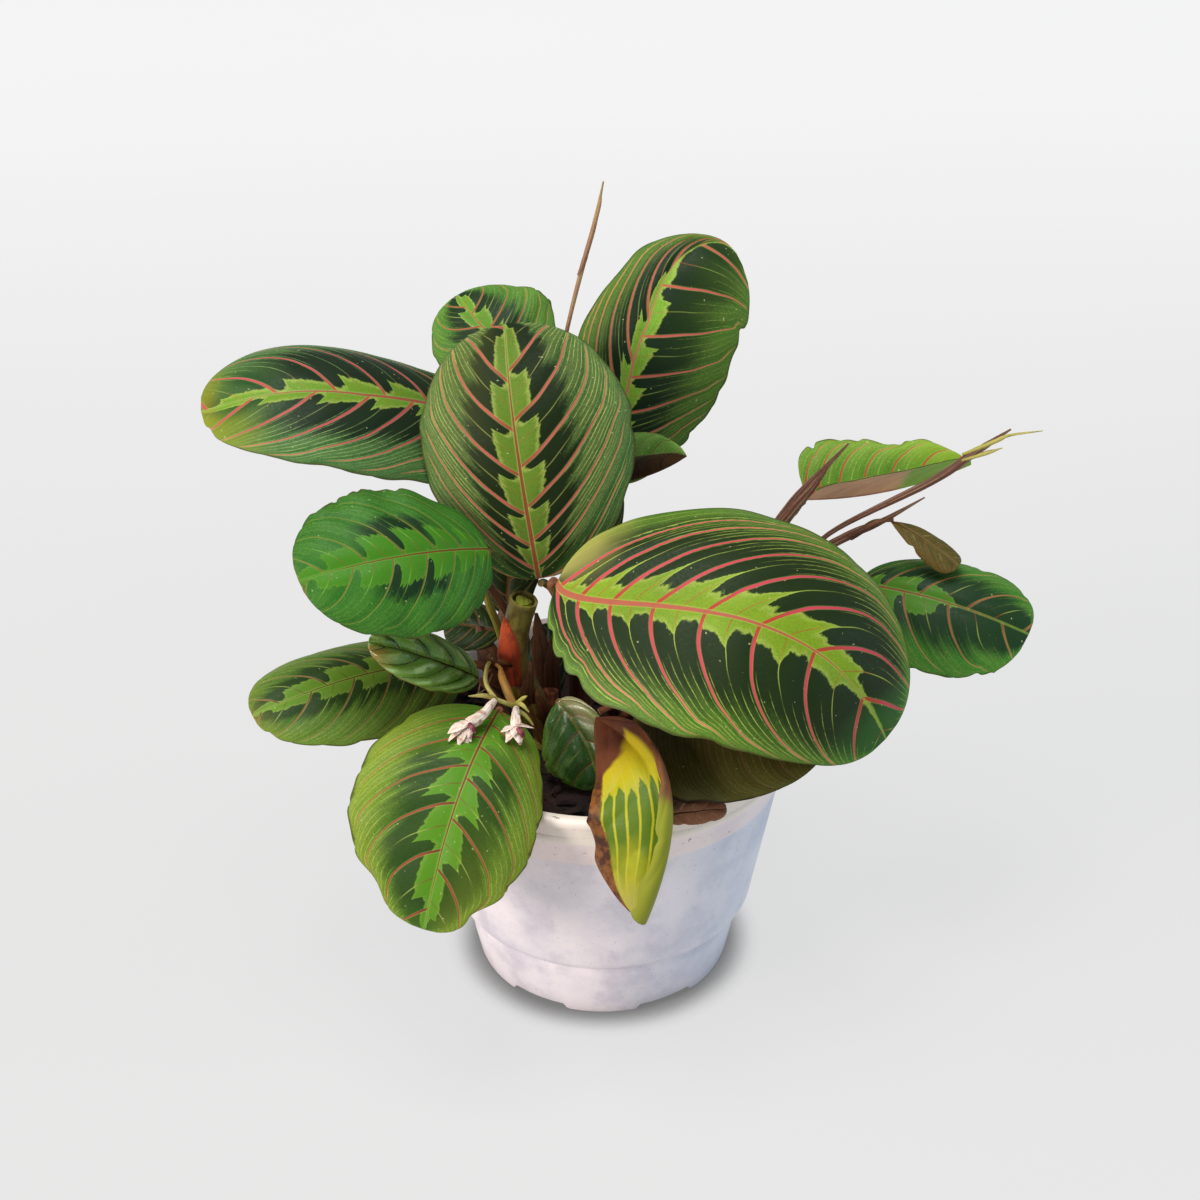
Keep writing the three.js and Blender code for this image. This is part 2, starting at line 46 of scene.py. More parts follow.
# Leaf shapes: the same values as the part's own blades.
LEAVES = {
    "leaf_big_right": dict(base=(-14, -22, 160), tip=(90, -44, 113.5), face=(10, 54), width=93, arch=24, skew=0.35,
                           sway=-9, widest=0.52, power=0.42, curl=(50, 40, 25, 30), shear=(0.36, 0.06),
                           rows=150, cols=64),
    "leaf_upright": dict(base=(-21, -8, 152), tip=(-32, 33, 223.5), face=(-3, 22), width=73, arch=15, skew=0.25,
                         widest=0.54, power=0.39, curl=(40, 35, 30, 30), bias=0.08, rows=120, cols=56),
    "leaf_top_right": dict(base=(3, 38, 163), tip=(47, 71, 229), face=(5, 28), width=56, arch=8, skew=0.3,
                           sway=-12, widest=0.56, power=0.4, curl=(35, 35, 40, 30), shear=(0.15, 0.15), bias=0.08),
    "leaf_far_left": dict(base=(-36, 46, 184), tip=(-130, 16, 200.5), face=(-8, 60), width=68, arch=16, skew=0.5,
                          widest=0.44, power=0.42, curl=(15, 15, 76, 56)),
    "leaf_mid_left": dict(base=(-37, -14, 166), tip=(-94, -40, 169), face=(-10, 42), width=52, arch=8,
                          widest=0.52, power=0.42, curl=(25, 25, 25, 25), shear=(-0.15, -0.15), wave=(1.0, 4, 0.4)),
    "leaf_low_left": dict(base=(-50, 1, 114), tip=(-112, -41, 120), face=(-5, 58), width=46, arch=8,
                          power=0.45, curl=(20, 20, 60, 60)),
    "leaf_behind_top": dict(base=(-23, 65, 188.5), tip=(-51, 90, 210.5), face=(-5, 45), width=46, arch=6, sway=-2,
                            curl=(20, 20, 20, 20), bias=0.1, wave=(1.0, 2, 0.6), rows=70, cols=40),
    "leaf_front_left": dict(base=(-34, -32, 116), tip=(-56, -86, 70), face=(-12, 22), width=62, arch=17,
                            power=0.42, curl=(60, 35, 0, 10), bias=0.08, wave=(0.8, 2, 0.2), rows=110, cols=56),
    "leaf_shadow_right": dict(base=(13, -18, 110), tip=(70, -45, 107), face=(5, 66), width=68, arch=9,
                              curl=(30, 30, 15, 15), shear=(0.12, 0.12), rows=80, cols=44),
    "leaf_right": dict(base=(88, 27, 130), tip=(143, 4, 123.5), face=(12, 45), width=45, arch=7,
                       widest=0.56, power=0.36, curl=(60, 40, 25, 25), bias=0.12, shear=(0.1, 0.1),
                       rows=80, cols=44),
    "leaf_yellow": dict(base=(-2.4, -34, 114.8), tip=(11, -84, 73), face=(0, 30), width=36, arch=18, skew=0.2,
                        sway=-14, widest=0.62, curl=(-170, -330, -5, 30), bias=0.3, rows=90, cols=56),
    "leaf_folded_right": dict(base=(70, 42, 155), tip=(126, 45, 167), face=(0, 88), width=42, arch=-3, fold=55,
                              widest=0.3, curl=(20, 20, 20, 20), shear=(-0.25, -0.25), rows=80, cols=44),
    "leaf_behind_right": dict(base=(14, 44, 138), tip=(64, 84, 118), face=(150, 60), width=44, arch=8,
                              curl=(30, 30, 30, 30), rows=70, cols=40),
    "leaf_behind_middle": dict(base=(-22, 48, 148), tip=(-34, 104, 134), face=(180, 60), width=46, arch=10,
                               curl=(30, 30, 30, 30), rows=70, cols=40),
    "leaf_young_glossy": dict(base=(-41, -20, 121), tip=(-75, -30, 141), face=(-10, 55), width=20, arch=3,
                              curl=(25, 25, 25, 25), rows=60, cols=32),
    "leaf_small_front": dict(base=(-15, -20, 112), tip=(-1, -36, 88), face=(-12, 32), width=27, arch=3, sway=-3,
                             widest=0.55, power=0.38, curl=(-30, -30, 25, 25), bias=0.3, rows=60, cols=36),
    "leaf_withered_rim": dict(base=(19, -63.4, 97.2), tip=(39, -59.6, 97.2), face=(15, 50), width=12, arch=1,
                              curl=(30, 30, 30, 30), rows=32, cols=24),
    "leaf_withered_right": dict(base=(98, 30, 152.5), tip=(120, 18, 142), face=(30, 40), width=13, arch=2,
                                widest=0.72, power=0.4, curl=(60, 60, 60, 60), rows=40, cols=20),
    "leaf_rolled_small": dict(base=(-2, 25, 170), tip=(27, 13, 186), face=(0, 88), width=32, arch=-2, fold=55,
                              widest=0.35, power=0.6, curl=(20, 20, 20, 20), rows=60, cols=36),
    "leaf_dark_behind_stalks": dict(base=(-33, 20, 122), tip=(-31, 36, 156), face=(0, 30), width=22, arch=3,
                                    curl=(20, 20, 20, 20), rows=48, cols=28),
    "leaf_dark_low": dict(base=(-35, 18, 116), tip=(-55, 28, 113), face=(-10, 50), width=18, arch=3,
                          curl=(20, 20, 20, 20), rows=40, cols=24),
    "leaf_dark_by_stalk": dict(base=(-20, 5, 94), tip=(-19, 14, 122), face=(0, 20), width=14, arch=3,
                               curl=(20, 20, 20, 20), rows=44, cols=20),
    "leaf_dark_narrow": dict(base=(-6, 24, 138), tip=(3, 34, 166), face=(0, 35), width=16, arch=3,
                             curl=(30, 30, 30, 30), rows=44, cols=20),
}

# Width of the light zone beside the midrib along one sector between two main veins (0 and 1), as a share of `lime`.
TEETH_EVEN = ((0, 0.78), (0.08, 0.95), (0.18, 0.85), (0.3, 1.0), (0.42, 1.3), (0.5, 1.65), (0.54, 1.1), (0.62, 0.62),
              (0.74, 0.7), (0.86, 0.52), (1, 0.78))
TEETH_LOBED = ((0, 0.75), (0.08, 1.0), (0.16, 0.9), (0.26, 1.05), (0.32, 0.93), (0.44, 1.14), (0.5, 0.98), (0.6, 1.15),
               (0.64, 1.0), (0.7, 1.12), (0.75, 0.6), (0.82, 0.32), (0.92, 0.22), (1, 0.3))
TEETH_MAPLE = ((0, 0.6), (0.1, 0.75), (0.22, 0.8), (0.3, 1.0), (0.36, 0.9), (0.5, 1.2), (0.58, 1.0), (0.68, 1.35),
               (0.74, 0.5), (0.85, 0.25), (1, 0.4))
RUN_FULL = ((0, 0.5), (0.1, 1.0), (0.6, 1.0), (0.85, 0.8), (1, 0.7))
RUN_FADING = ((0, 0.7), (0.1, 1.0), (0.62, 0.95), (0.78, 0.7), (0.9, 0.2), (1, 0.0))

# How each leaf is marked. Colours are as seen; half widths of veins in mm; the rest in shares of length or half
# width. Pairs are the left and the right half. drift moves the midrib off the middle, shift the veins along it.
GREEN = dict(veins=7.4, spacing=(0.02, 0.65), crowd=0.45, shift=(0.0, 0.35), lean=(0.2, 0.2), hook=(0.36, 0.4), drift=(),
             teeth=TEETH_MAPLE, run=RUN_FULL, lime=0.2, reach=0.5, soft=0.1, lines=5.0, line_from=0.34, rim=0.5, minor=0.8, painted_highlight=0.0, blotch=0.95, lime_c="#7fb038", dark_c="#1b2a1c",
             mid_c="#3a6b34", out_c="#4c8038", line_c="#a6c06a", vein_c="#d8706a", root_c="#a85040", rib_c="#a8583f",
             cream_c="#d8a884", edge_c="#4a4a24", line=0.8, vein_w=0.34, rib_w=0.5, dark_run=((0, 1), (1, 1)),
             rough=0.45, gloss=0.14,
             under_c="#6a403c", under_vein_c="#96605a", relief=0.55, scallop=0.01, tints=())
LOOKS = {
    "leaf_big_right": dict(line_from=0.44, lines=5.0, soft=0.16, veins=8.6, spacing=(0.02, 0.6), shift=(-0.25, -0.25), lean=(0.3, 0.08), hook=(0.45, 0.62),
                           drift=((0, 0.3), (0.25, 0.19), (0.5, 0.1), (0.75, 0.03), (1, 0)), teeth=TEETH_EVEN, run=RUN_FADING, lime=(0.21, 0.17), reach=0.7,
                           lime_c="#8cae2e", dark_c="#1d2e14", mid_c="#2f5a22", out_c="#4a7e2c", vein_c="#d84a72",
                           root_c="#b8483c", rib_c="#b8645a", line_c="#bcd070", cream_c="#e8b098", line=1.0,
                           vein_w=0.62, rib_w=1.0, scallop=0.008,
                           # The first tint is a painted sheen: a pale yellow-olive haze on the left half near the base.
                           tints=(("#ccc47c", 0.0, 0.13, -1, 0.6), ("#3f8f3c", 0.88, 1.0, 0, 0.4))),
    "leaf_upright": dict(minor=0.45, rough=0.5, gloss=0.1, line_from=0.4, lines=6.0, soft=0.06, teeth=TEETH_LOBED, veins=7.3, spacing=(0.02, 0.6), shift=(0.4, 0.2), lean=(0.36, 0.36), hook=(0.42, 0.42),
                         reach=0.43, lime=0.19, lime_c="#6c8c34", dark_c="#172410", mid_c="#2f5832",
                         out_c="#44724a", line_c="#c4cc86", vein_c="#c4606a", root_c="#9c5644", rib_c="#904e3c",
                         line=1.0, vein_w=0.5, rib_w=0.68,
                         # The second tint is a painted sheen: an olive-grey haze over the left half, standing in for
                         # light reflected off the leaf.
                         tints=(("#2f5226", 0.0, 0.14, 0, 0.5), ("#7c7c4a", 0.2, 0.9, -1, 0.14))),
    "leaf_top_right": dict(minor=0.5, rib_w=0.7, dark_run=((0, 1), (0.8, 1), (0.95, 0.6), (1, 0.4)), soft=0.14, teeth=TEETH_MAPLE, vein_w=0.46, hook=(0.5, 0.42), veins=7.6, lean=(0.3, 0.24), lime=0.16, lime_c="#8cc048", dark_c="#14291c", mid_c="#244a22",
                           out_c="#47782a", vein_c="#cc6470", root_c="#c46a60", rib_c="#c47e70", line=0.5,
                           drift=((0, 0), (0.35, -0.05), (0.6, -0.25), (0.8, -0.6), (1, -0.9)), reach=0.52,
                           run=((0, 0.8), (0.1, 1.0), (0.6, 1.0), (0.74, 0.7), (0.83, 0), (1, 0)),
                           tints=(("#6a8a38", 0.35, 1.0, 1, 0.15),)),
    "leaf_far_left": dict(minor=0.4, rib_w=0.75, dark_run=((0, 1), (0.72, 1), (0.86, 0.15), (1, 0)), line_c="#a8c892", lines=5.0, soft=0.08, veins=7.2, lean=(0.32, 0.26), lime=(0.16, 0.13), lime_c="#7aa436", dark_c="#18281c", mid_c="#2d5a30",
                          out_c="#3c7040", vein_c="#cc5470", root_c="#bc5a56", rib_c="#ac5c50", line=0.8,
                          vein_w=0.5, reach=0.56, drift=((0, 0), (0.5, -0.12), (1, -0.1)),
                          tints=(("#a8902c", 0.93, 1.03, 0, 0.85), ("#8c9a30", 0.78, 0.98, -1, 0.75),
                                 ("#76902e", 0.86, 1.0, 1, 0.5))),
    "leaf_mid_left": dict(rim=0.08, dark_run=((0, 0), (0.26, 0), (0.34, 1), (0.6, 1), (0.72, 0), (1, 0)), soft=0.05, veins=6.6, teeth=TEETH_LOBED, lime=0.33, reach=0.52, lime_c="#4a8a22", dark_c="#14301e",
                          mid_c="#34762a", out_c="#2f6c26", vein_c="#8a7a40", root_c="#7a6038", rib_c="#76442a",
                          cream_c="#7c9040", line=0.35, vein_w=0.22, rib_w=0.35, line_c="#7cb45a",
                          scallop=0.035, tints=(("#7a6a34", 0.975, 1.0, 0, 0.8),)),
    "leaf_low_left": dict(rim=0.15, soft=0.08, teeth=TEETH_LOBED, veins=6.6, lime=0.22, reach=0.4, lime_c="#6c9636", dark_c="#2a4420", mid_c="#4e7430",
                          out_c="#668a3a", vein_c="#a0685a", root_c="#6b4030", rib_c="#5f3a26", cream_c="#8a9050",
                          line=0.6, vein_w=0.26, rib_w=0.36, scallop=0.02,
                          # The last tint is painted shade: the base third of the leaf is darkened where it lies in
                          # shadow.
                          tints=(("#c8862a", 0.955, 1.02, 0, 0.9), ("#838a30", 0.88, 1.0, 0, 0.5),
                                 ("#2a4020", 0.0, 0.35, 0, 0.5))),
    "leaf_behind_top": dict(veins=6, lime=0.22, lime_c="#6ba03c", dark_c="#1c3222", mid_c="#3e7c34",
                            out_c="#569040", vein_c="#b46458", line=0.5, scallop=0.03),
    "leaf_front_left": dict(rim=0.15, line_from=0.5, dark_run=((0, 0), (0.2, 0), (0.34, 1), (0.9, 1), (1, 0.5)), soft=0.14, veins=6.4, lime=0.25, reach=0.54, teeth=TEETH_MAPLE, lime_c="#5c962a", dark_c="#22401a",
                            mid_c="#568628", out_c="#84a030", vein_c="#a84e48", root_c="#7c4034", rib_c="#7c4438",
                            cream_c="#c89070", line_c="#b4c474", line=1.1, vein_w=0.4, rib_w=0.42, scallop=0.04,
                            blotch=0.85, tints=(("#4f8f2c", 0.0, 0.22, 0, 0.5), ("#8a9a3c", 0.3, 1.0, -1, 0.3))),
    # This leaf's colours are dull olive-browns: its own dull tone, darkened further by painted shade from the leaf
    # above it.
    "leaf_shadow_right": dict(veins=7.4, lime_c="#43441f", dark_c="#40341a", mid_c="#565028", out_c="#5e5a2e",
                              vein_c="#5e4034", root_c="#46281e", rib_c="#46281e", cream_c="#524430",
                              line_c="#7c7c4c", line=0.8, blotch=0.5, lime=0.1, edge_c="#241c12"),
    "leaf_right": dict(rim=0.1, run=((0, 0.9), (0.1, 1.1), (0.4, 1.0), (0.52, 0.4), (0.6, 0), (1, 0)), soft=0.16, teeth=TEETH_LOBED, veins=4.4, lime=0.3, reach=0.56, lime_c="#548c2c", dark_c="#1d3a28", mid_c="#357a34", out_c="#418a3c", vein_c="#aa6456",
                       root_c="#8a4a3c", rib_c="#84503e", line=0.35, vein_w=0.34, rib_w=0.4, scallop=0.03),
    "leaf_yellow": dict(tip_c="#909628", veins=5, teeth=TEETH_EVEN, lime=0.3, reach=0.9, lime_c="#c8b020", dark_c="#2c4416",
                        mid_c="#bfb026", out_c="#c8b62c", vein_c="#ccb848", root_c="#c0a03a", rib_c="#d4c468",
                        cream_c="#d8ce74", line_c="#dcd480", line=0.7, vein_w=0.16, rib_w=0.35, under_c="#6a3a28",
                        under_vein_c="#8a5038", blotch=0.0, edge_c="#7a3a18"),
    "leaf_folded_right": dict(tip_c="#86b43c", veins=7, lime=0.12, reach=0.0, blotch=0.0, lime_c="#9cc03c", mid_c="#5c9030",
                              out_c="#7aa838", vein_c="#b85048", root_c="#a84840", rib_c="#a86448", line=0.8,
                              line_c="#a8c468", under_c="#dca48e", under_vein_c="#e8b4a0", vein_w=0.44,
                              scallop=0.04, tints=(("#90b43a", 0.55, 1.0, 0, 0.7),)),
    "leaf_behind_right": dict(),
    "leaf_behind_middle": dict(veins=6.4),
    "leaf_young_glossy": dict(painted_highlight=1.0, veins=4.8, lime=0.02, reach=0.02, blotch=0.0, lime_c="#4e8634", mid_c="#568a38",
                              out_c="#6c9c44", vein_c="#3c2418", root_c="#34200f", rib_c="#3f2618",
                              cream_c="#4a3020", line=0.4, vein_w=0.26, rib_w=0.4, rough=0.2, gloss=0.6,
                              relief=2.0, edge_c="#8a5434", scallop=0.05,
                              tints=(("#a07a34", 0.72, 0.95, -1, 0.7), ("#7a4a30", 0.0, 0.05, 0, 0.6))),
    "leaf_small_front": dict(soft=0.12, painted_highlight=0.3, cream_c="#80544a", veins=3.6, lime=0.0, reach=0.72, lime_c="#3c6a2c", dark_c="#20482a", mid_c="#68ac44",
                             out_c="#84bc50", vein_c="#8a5a48", root_c="#6a4436", rib_c="#8c7450", line=0.3,
                             vein_w=0.38, rib_w=0.42, under_c="#a0a088", under_vein_c="#4c4a34", relief=1.0,
                             blotch=0.75, edge_c="#8a6a44", gloss=0.5, rough=0.26, scallop=0.05,
                             tints=(("#a8a088", 0.0, 1.0, -1, 0.9),)),
    # The withered rim leaf's tint is painted shade: its far half is darkened to near black where it lies in shadow.
    "leaf_withered_rim": dict(tints=(("#2e2c28", 0.0, 1.0, -1, 0.9),), cream_c="#a87c70", veins=3, lime=0.0, reach=0.0, blotch=0.0, mid_c="#946058", out_c="#b88078",
                              lime_c="#6a4038", dark_c="#4a2c28", vein_c="#9a6c60", root_c="#5a3830",
                              rib_c="#4c2c26", line=0.4, line_c="#a87f6c", under_c="#4c2a26", rough=0.7),
    "leaf_withered_right": dict(cream_c="#80683c", veins=3, lime=0.0, reach=0.0, blotch=0.0, mid_c="#5c5030", out_c="#7a6038",
                                lime_c="#5a5a30", dark_c="#4a4a28", vein_c="#6a5030", root_c="#5a4428",
                                rib_c="#6a4c30", line=0.5, line_c="#9c8c5c", under_c="#5a4430", rough=0.6,
                                tints=(("#2f5024", 0.0, 0.3, -1, 0.8),)),
    "leaf_rolled_small": dict(veins=5, lime=0.0, reach=0.0, blotch=0.0, lime_c="#5a8a4a", mid_c="#4c7a40",
                              out_c="#5a8a4a", vein_c="#4a3020", root_c="#4a3020", rib_c="#4a3020", line=0.2,
                              cream_c="#5a4028", vein_w=0.3, rough=0.2, under_c="#4f3618", under_vein_c="#2c1a0c"),
    "leaf_dark_behind_stalks": dict(cream_c="#7a6a50", lines=4.0, rib_c="#7a4a38", root_c="#6a3c2c", veins=4, lime=0.0, reach=1.2, blotch=1.0, dark_c="#26361f", mid_c="#33452a",
                                    out_c="#3c4e30", lime_c="#3c4e30", vein_c="#8a5644", line_c="#6f7d50"),
    "leaf_dark_low": dict(cream_c="#7a6a50", rib_c="#6a4232", root_c="#5a3828", veins=4, lime=0.0, reach=1.2, dark_c="#22391f", mid_c="#2c4a2a", out_c="#38552f",
                          lime_c="#3c4e30", vein_c="#7c5240", line_c="#6f7d50"),
    "leaf_dark_by_stalk": dict(root_c="#7a5a48", rib_c="#7a5a48", cream_c="#8a7a64", veins=4, lime=0.0, reach=1.2, dark_c="#16352c", mid_c="#1f4a38", out_c="#2c5a40",
                               lime_c="#3c4e30", vein_c="#9a7a64", line_c="#5f8a60", line=1.0),
    "leaf_dark_narrow": dict(rib_c="#6a4030", cream_c="#6a5a44", veins=4, lime=0.0, reach=1.2, dark_c="#1c2a1a", mid_c="#26381f", out_c="#2f4226",
                             lime_c="#3c4e30", vein_c="#7c4a3c"),
}

# Notches, tears and swellings of the margins: side (+1 right, -1 left), where, how wide, how deep (share of reach).
MARGINS = {
    "leaf_big_right": [(-1, 0.14, 0.09, 0.09), (1, 0.045, 0.012, 0.12), (1, 0.1, 0.012, 0.07), (1, 0.16, 0.02, 0.05), (-1, 0.05, 0.02, 0.04)],
    "leaf_top_right": [(-1, 0.78, 0.14, -0.09), (1, 0.82, 0.08, 0.07), (1, 0.9, 0.018, 0.13), (1, 0.95, 0.02, -0.05), (1, 0.3, 0.02, 0.03), (1, 0.2, 0.02, 0.03)],
    "leaf_far_left": [(-1, 0.985, 0.008, 0.2), (1, 0.12, 0.02, 0.06), (1, 0.3, 0.02, 0.03), (1, 0.5, 0.012, -0.03)],
    "leaf_mid_left": [(1, 0.35, 0.02, 0.06), (1, 0.47, 0.012, -0.03), (1, 0.55, 0.012, 0.04), (1, 0.68, 0.015, 0.05),
                      (1, 0.8, 0.02, 0.04), (-1, 0.08, 0.02, 0.08), (-1, 0.2, 0.02, 0.05)],
    "leaf_low_left": [(-1, 0.97, 0.012, 0.16), (1, 0.62, 0.03, 0.07), (1, 0.5, 0.02, -0.04)],
    "leaf_front_left": [(1, 0.92, 0.06, 0.2), (-1, 0.92, 0.06, 0.2), (-1, 0.78, 0.02, 0.04), (1, 0.2, 0.03, 0.04), (1, 0.87, 0.03, 0.07), (-1, 0.9, 0.03, 0.06), (-1, 0.16, 0.03, 0.04)],
    "leaf_right": [(-1, 0.62, 0.03, 0.05), (-1, 0.8, 0.04, -0.05), (1, 0.85, 0.02, 0.06), (-1, 0.9, 0.02, 0.05), (1, 0.93, 0.01, -0.05)],
    "leaf_small_front": [(1, 0.5, 0.03, 0.08), (1, 0.7, 0.03, -0.06), (1, 0.85, 0.03, 0.1)],
    "leaf_yellow": [(1, 0.93, 0.08, -0.3), (-1, 0.975, 0.03, -0.9), (-1, 0.9, 0.07, -0.4), (-1, 0.3, 0.02, 0.1), (-1, 0.5, 0.03, 0.08), (-1, 0.7, 0.02, 0.1)],
    "leaf_withered_rim": [(1, 0.5, 0.6, 0.35), (1, 0.3, 0.05, 0.2), (-1, 0.5, 0.06, 0.2), (1, 0.7, 0.06, 0.15)],
    "leaf_withered_right": [(1, 0.4, 0.05, 0.2), (-1, 0.6, 0.05, 0.25)],
    "leaf_folded_right": [(-1, 0.62, 0.07, 0.12), (-1, 0.86, 0.06, -0.16), (-1, 0.15, 0.02, 0.1), (-1, 0.45, 0.03, 0.05), (-1, 0.7, 0.03, 0.08)],
}


def camera():
    data = bpy.data.cameras.new("camera")
    data.sensor_width = 36
    data.lens = 65.22
    data.clip_start = 0.01
    cam = bpy.data.objects.new("camera", data)
    bpy.context.scene.collection.objects.link(cam)
    cam.location = (-0.0011, -0.6235, 0.4992)
    cam.rotation_euler = (math.radians(60), 0, 0)
    bpy.context.scene.camera = cam


def seen(code, dim=(1.0, 1.0, 1.0)):
    """Scene colour of a colour as seen, written #rrggbb."""
    parts = [int(code[i:i + 2], 16) / 255 for i in (1, 3, 5)]
    return [k * (c / 12.92 if c <= 0.04045 else ((c + 0.055) / 1.055) ** 2.4) for c, k in zip(parts, dim)] + [1.0]


class Wire:
    """An output socket that can be reckoned with."""

    def __init__(self, net, socket):
        self.net = net
        self.socket = socket

    def __add__(self, other):
        return self.net.math("ADD", self, other)

    def __sub__(self, other):
        return self.net.math("SUBTRACT", self, other)

    def __rsub__(self, other):
        return self.net.math("SUBTRACT", other, self)

    def __rtruediv__(self, other):
        return self.net.math("DIVIDE", other, self)

    def __mul__(self, other):
        return self.net.math("MULTIPLY", self, other)

    def __truediv__(self, other):
        return self.net.math("DIVIDE", self, other)

    __radd__ = __add__
    __rmul__ = __mul__


class Net:
    """A material and the few nodes this scene builds its surfaces from. dim darkens the colours put in by name."""

    def __init__(self, name, dim=(1.0, 1.0, 1.0), **fixed):
        self.dim = dim
        self.material = bpy.data.materials.new(name)
        self.material.use_nodes = True
        self.tree = self.material.node_tree
        self.tree.nodes.clear()
        output = self.tree.nodes.new("ShaderNodeOutputMaterial")
        self.shader = self.tree.nodes.new("ShaderNodeBsdfPrincipled")
        self.tree.links.new(self.shader.outputs[0], output.inputs[0])
        for key, value in fixed.items():
            self.shader.inputs[key.replace("_", " ")].default_value = value

    def put(self, socket, value):
        if isinstance(value, Wire):
            self.tree.links.new(value.socket, socket)
        elif isinstance(value, str):
            socket.default_value = seen(value, self.dim)
        else:
            socket.default_value = value

    def node(self, kind, inputs, output=0, **settings):
        made = self.tree.nodes.new(kind)
        for key, value in settings.items():
            setattr(made, key, value)
        for key, value in inputs.items():
            self.put(made.inputs[key], value)
        return Wire(self, made.outputs[output])

    def math(self, operation, a, b=0.0, clamp=False):
        return self.node("ShaderNodeMath", {0: a, 1: b}, operation=operation, use_clamp=clamp)

    def smooth(self, x, low, high, start=0.0, end=1.0):
        return self.node("ShaderNodeMapRange", {0: x, 1: low, 2: high, 3: start, 4: end},
                         interpolation_type="SMOOTHSTEP")

    def mix(self, share, a, b, blend="MIX"):
        return self.node("ShaderNodeMix", {0: share, 6: a, 7: b}, output=2, data_type="RGBA", blend_type=blend)

    def uv(self, layer):
        source = self.node("ShaderNodeUVMap", {}, uv_map=layer)
        split = self.tree.nodes.new("ShaderNodeSeparateXYZ")
        self.put(split.inputs[0], source)
        return Wire(self, split.outputs[0]), Wire(self, split.outputs[1])

    def place(self):
        return self.node("ShaderNodeTexCoord", {}, output="Object")

    def pair(self, x, y, z=0.0):
        return self.node("ShaderNodeCombineXYZ", {0: x, 1: y, 2: z})

    def noise(self, vector, scale, detail=2.0, rough=0.5):
        return self.node("ShaderNodeTexNoise",
                         {"Vector": vector, "Scale": scale, "Detail": detail, "Roughness": rough})

    def curve(self, x, points):
        made = self.tree.nodes.new("ShaderNodeFloatCurve")
        self.put(made.inputs["Value"], x)
        line = made.mapping.curves[0]
        top = max(y for _, y in points)
        while len(line.points) < len(points):
            line.points.new(0.5, 0.5)
        for knot, (px, py) in zip(line.points, points):
            knot.location = (px, py / top)
            knot.handle_type = "VECTOR"
        made.mapping.update()
        return Wire(self, made.outputs[0]) * top

    def finish(self, colour, roughness=None, height=None, depth=0.0003, strength=1.0):
        self.put(self.shader.inputs["Base Color"], colour)
        if roughness is not None:
            self.put(self.shader.inputs["Roughness"], roughness)
        if height is not None:
            bump = self.node("ShaderNodeBump", {"Height": height, "Distance": depth, "Strength": strength})
            self.put(self.shader.inputs["Normal"], bump)
        return self.material


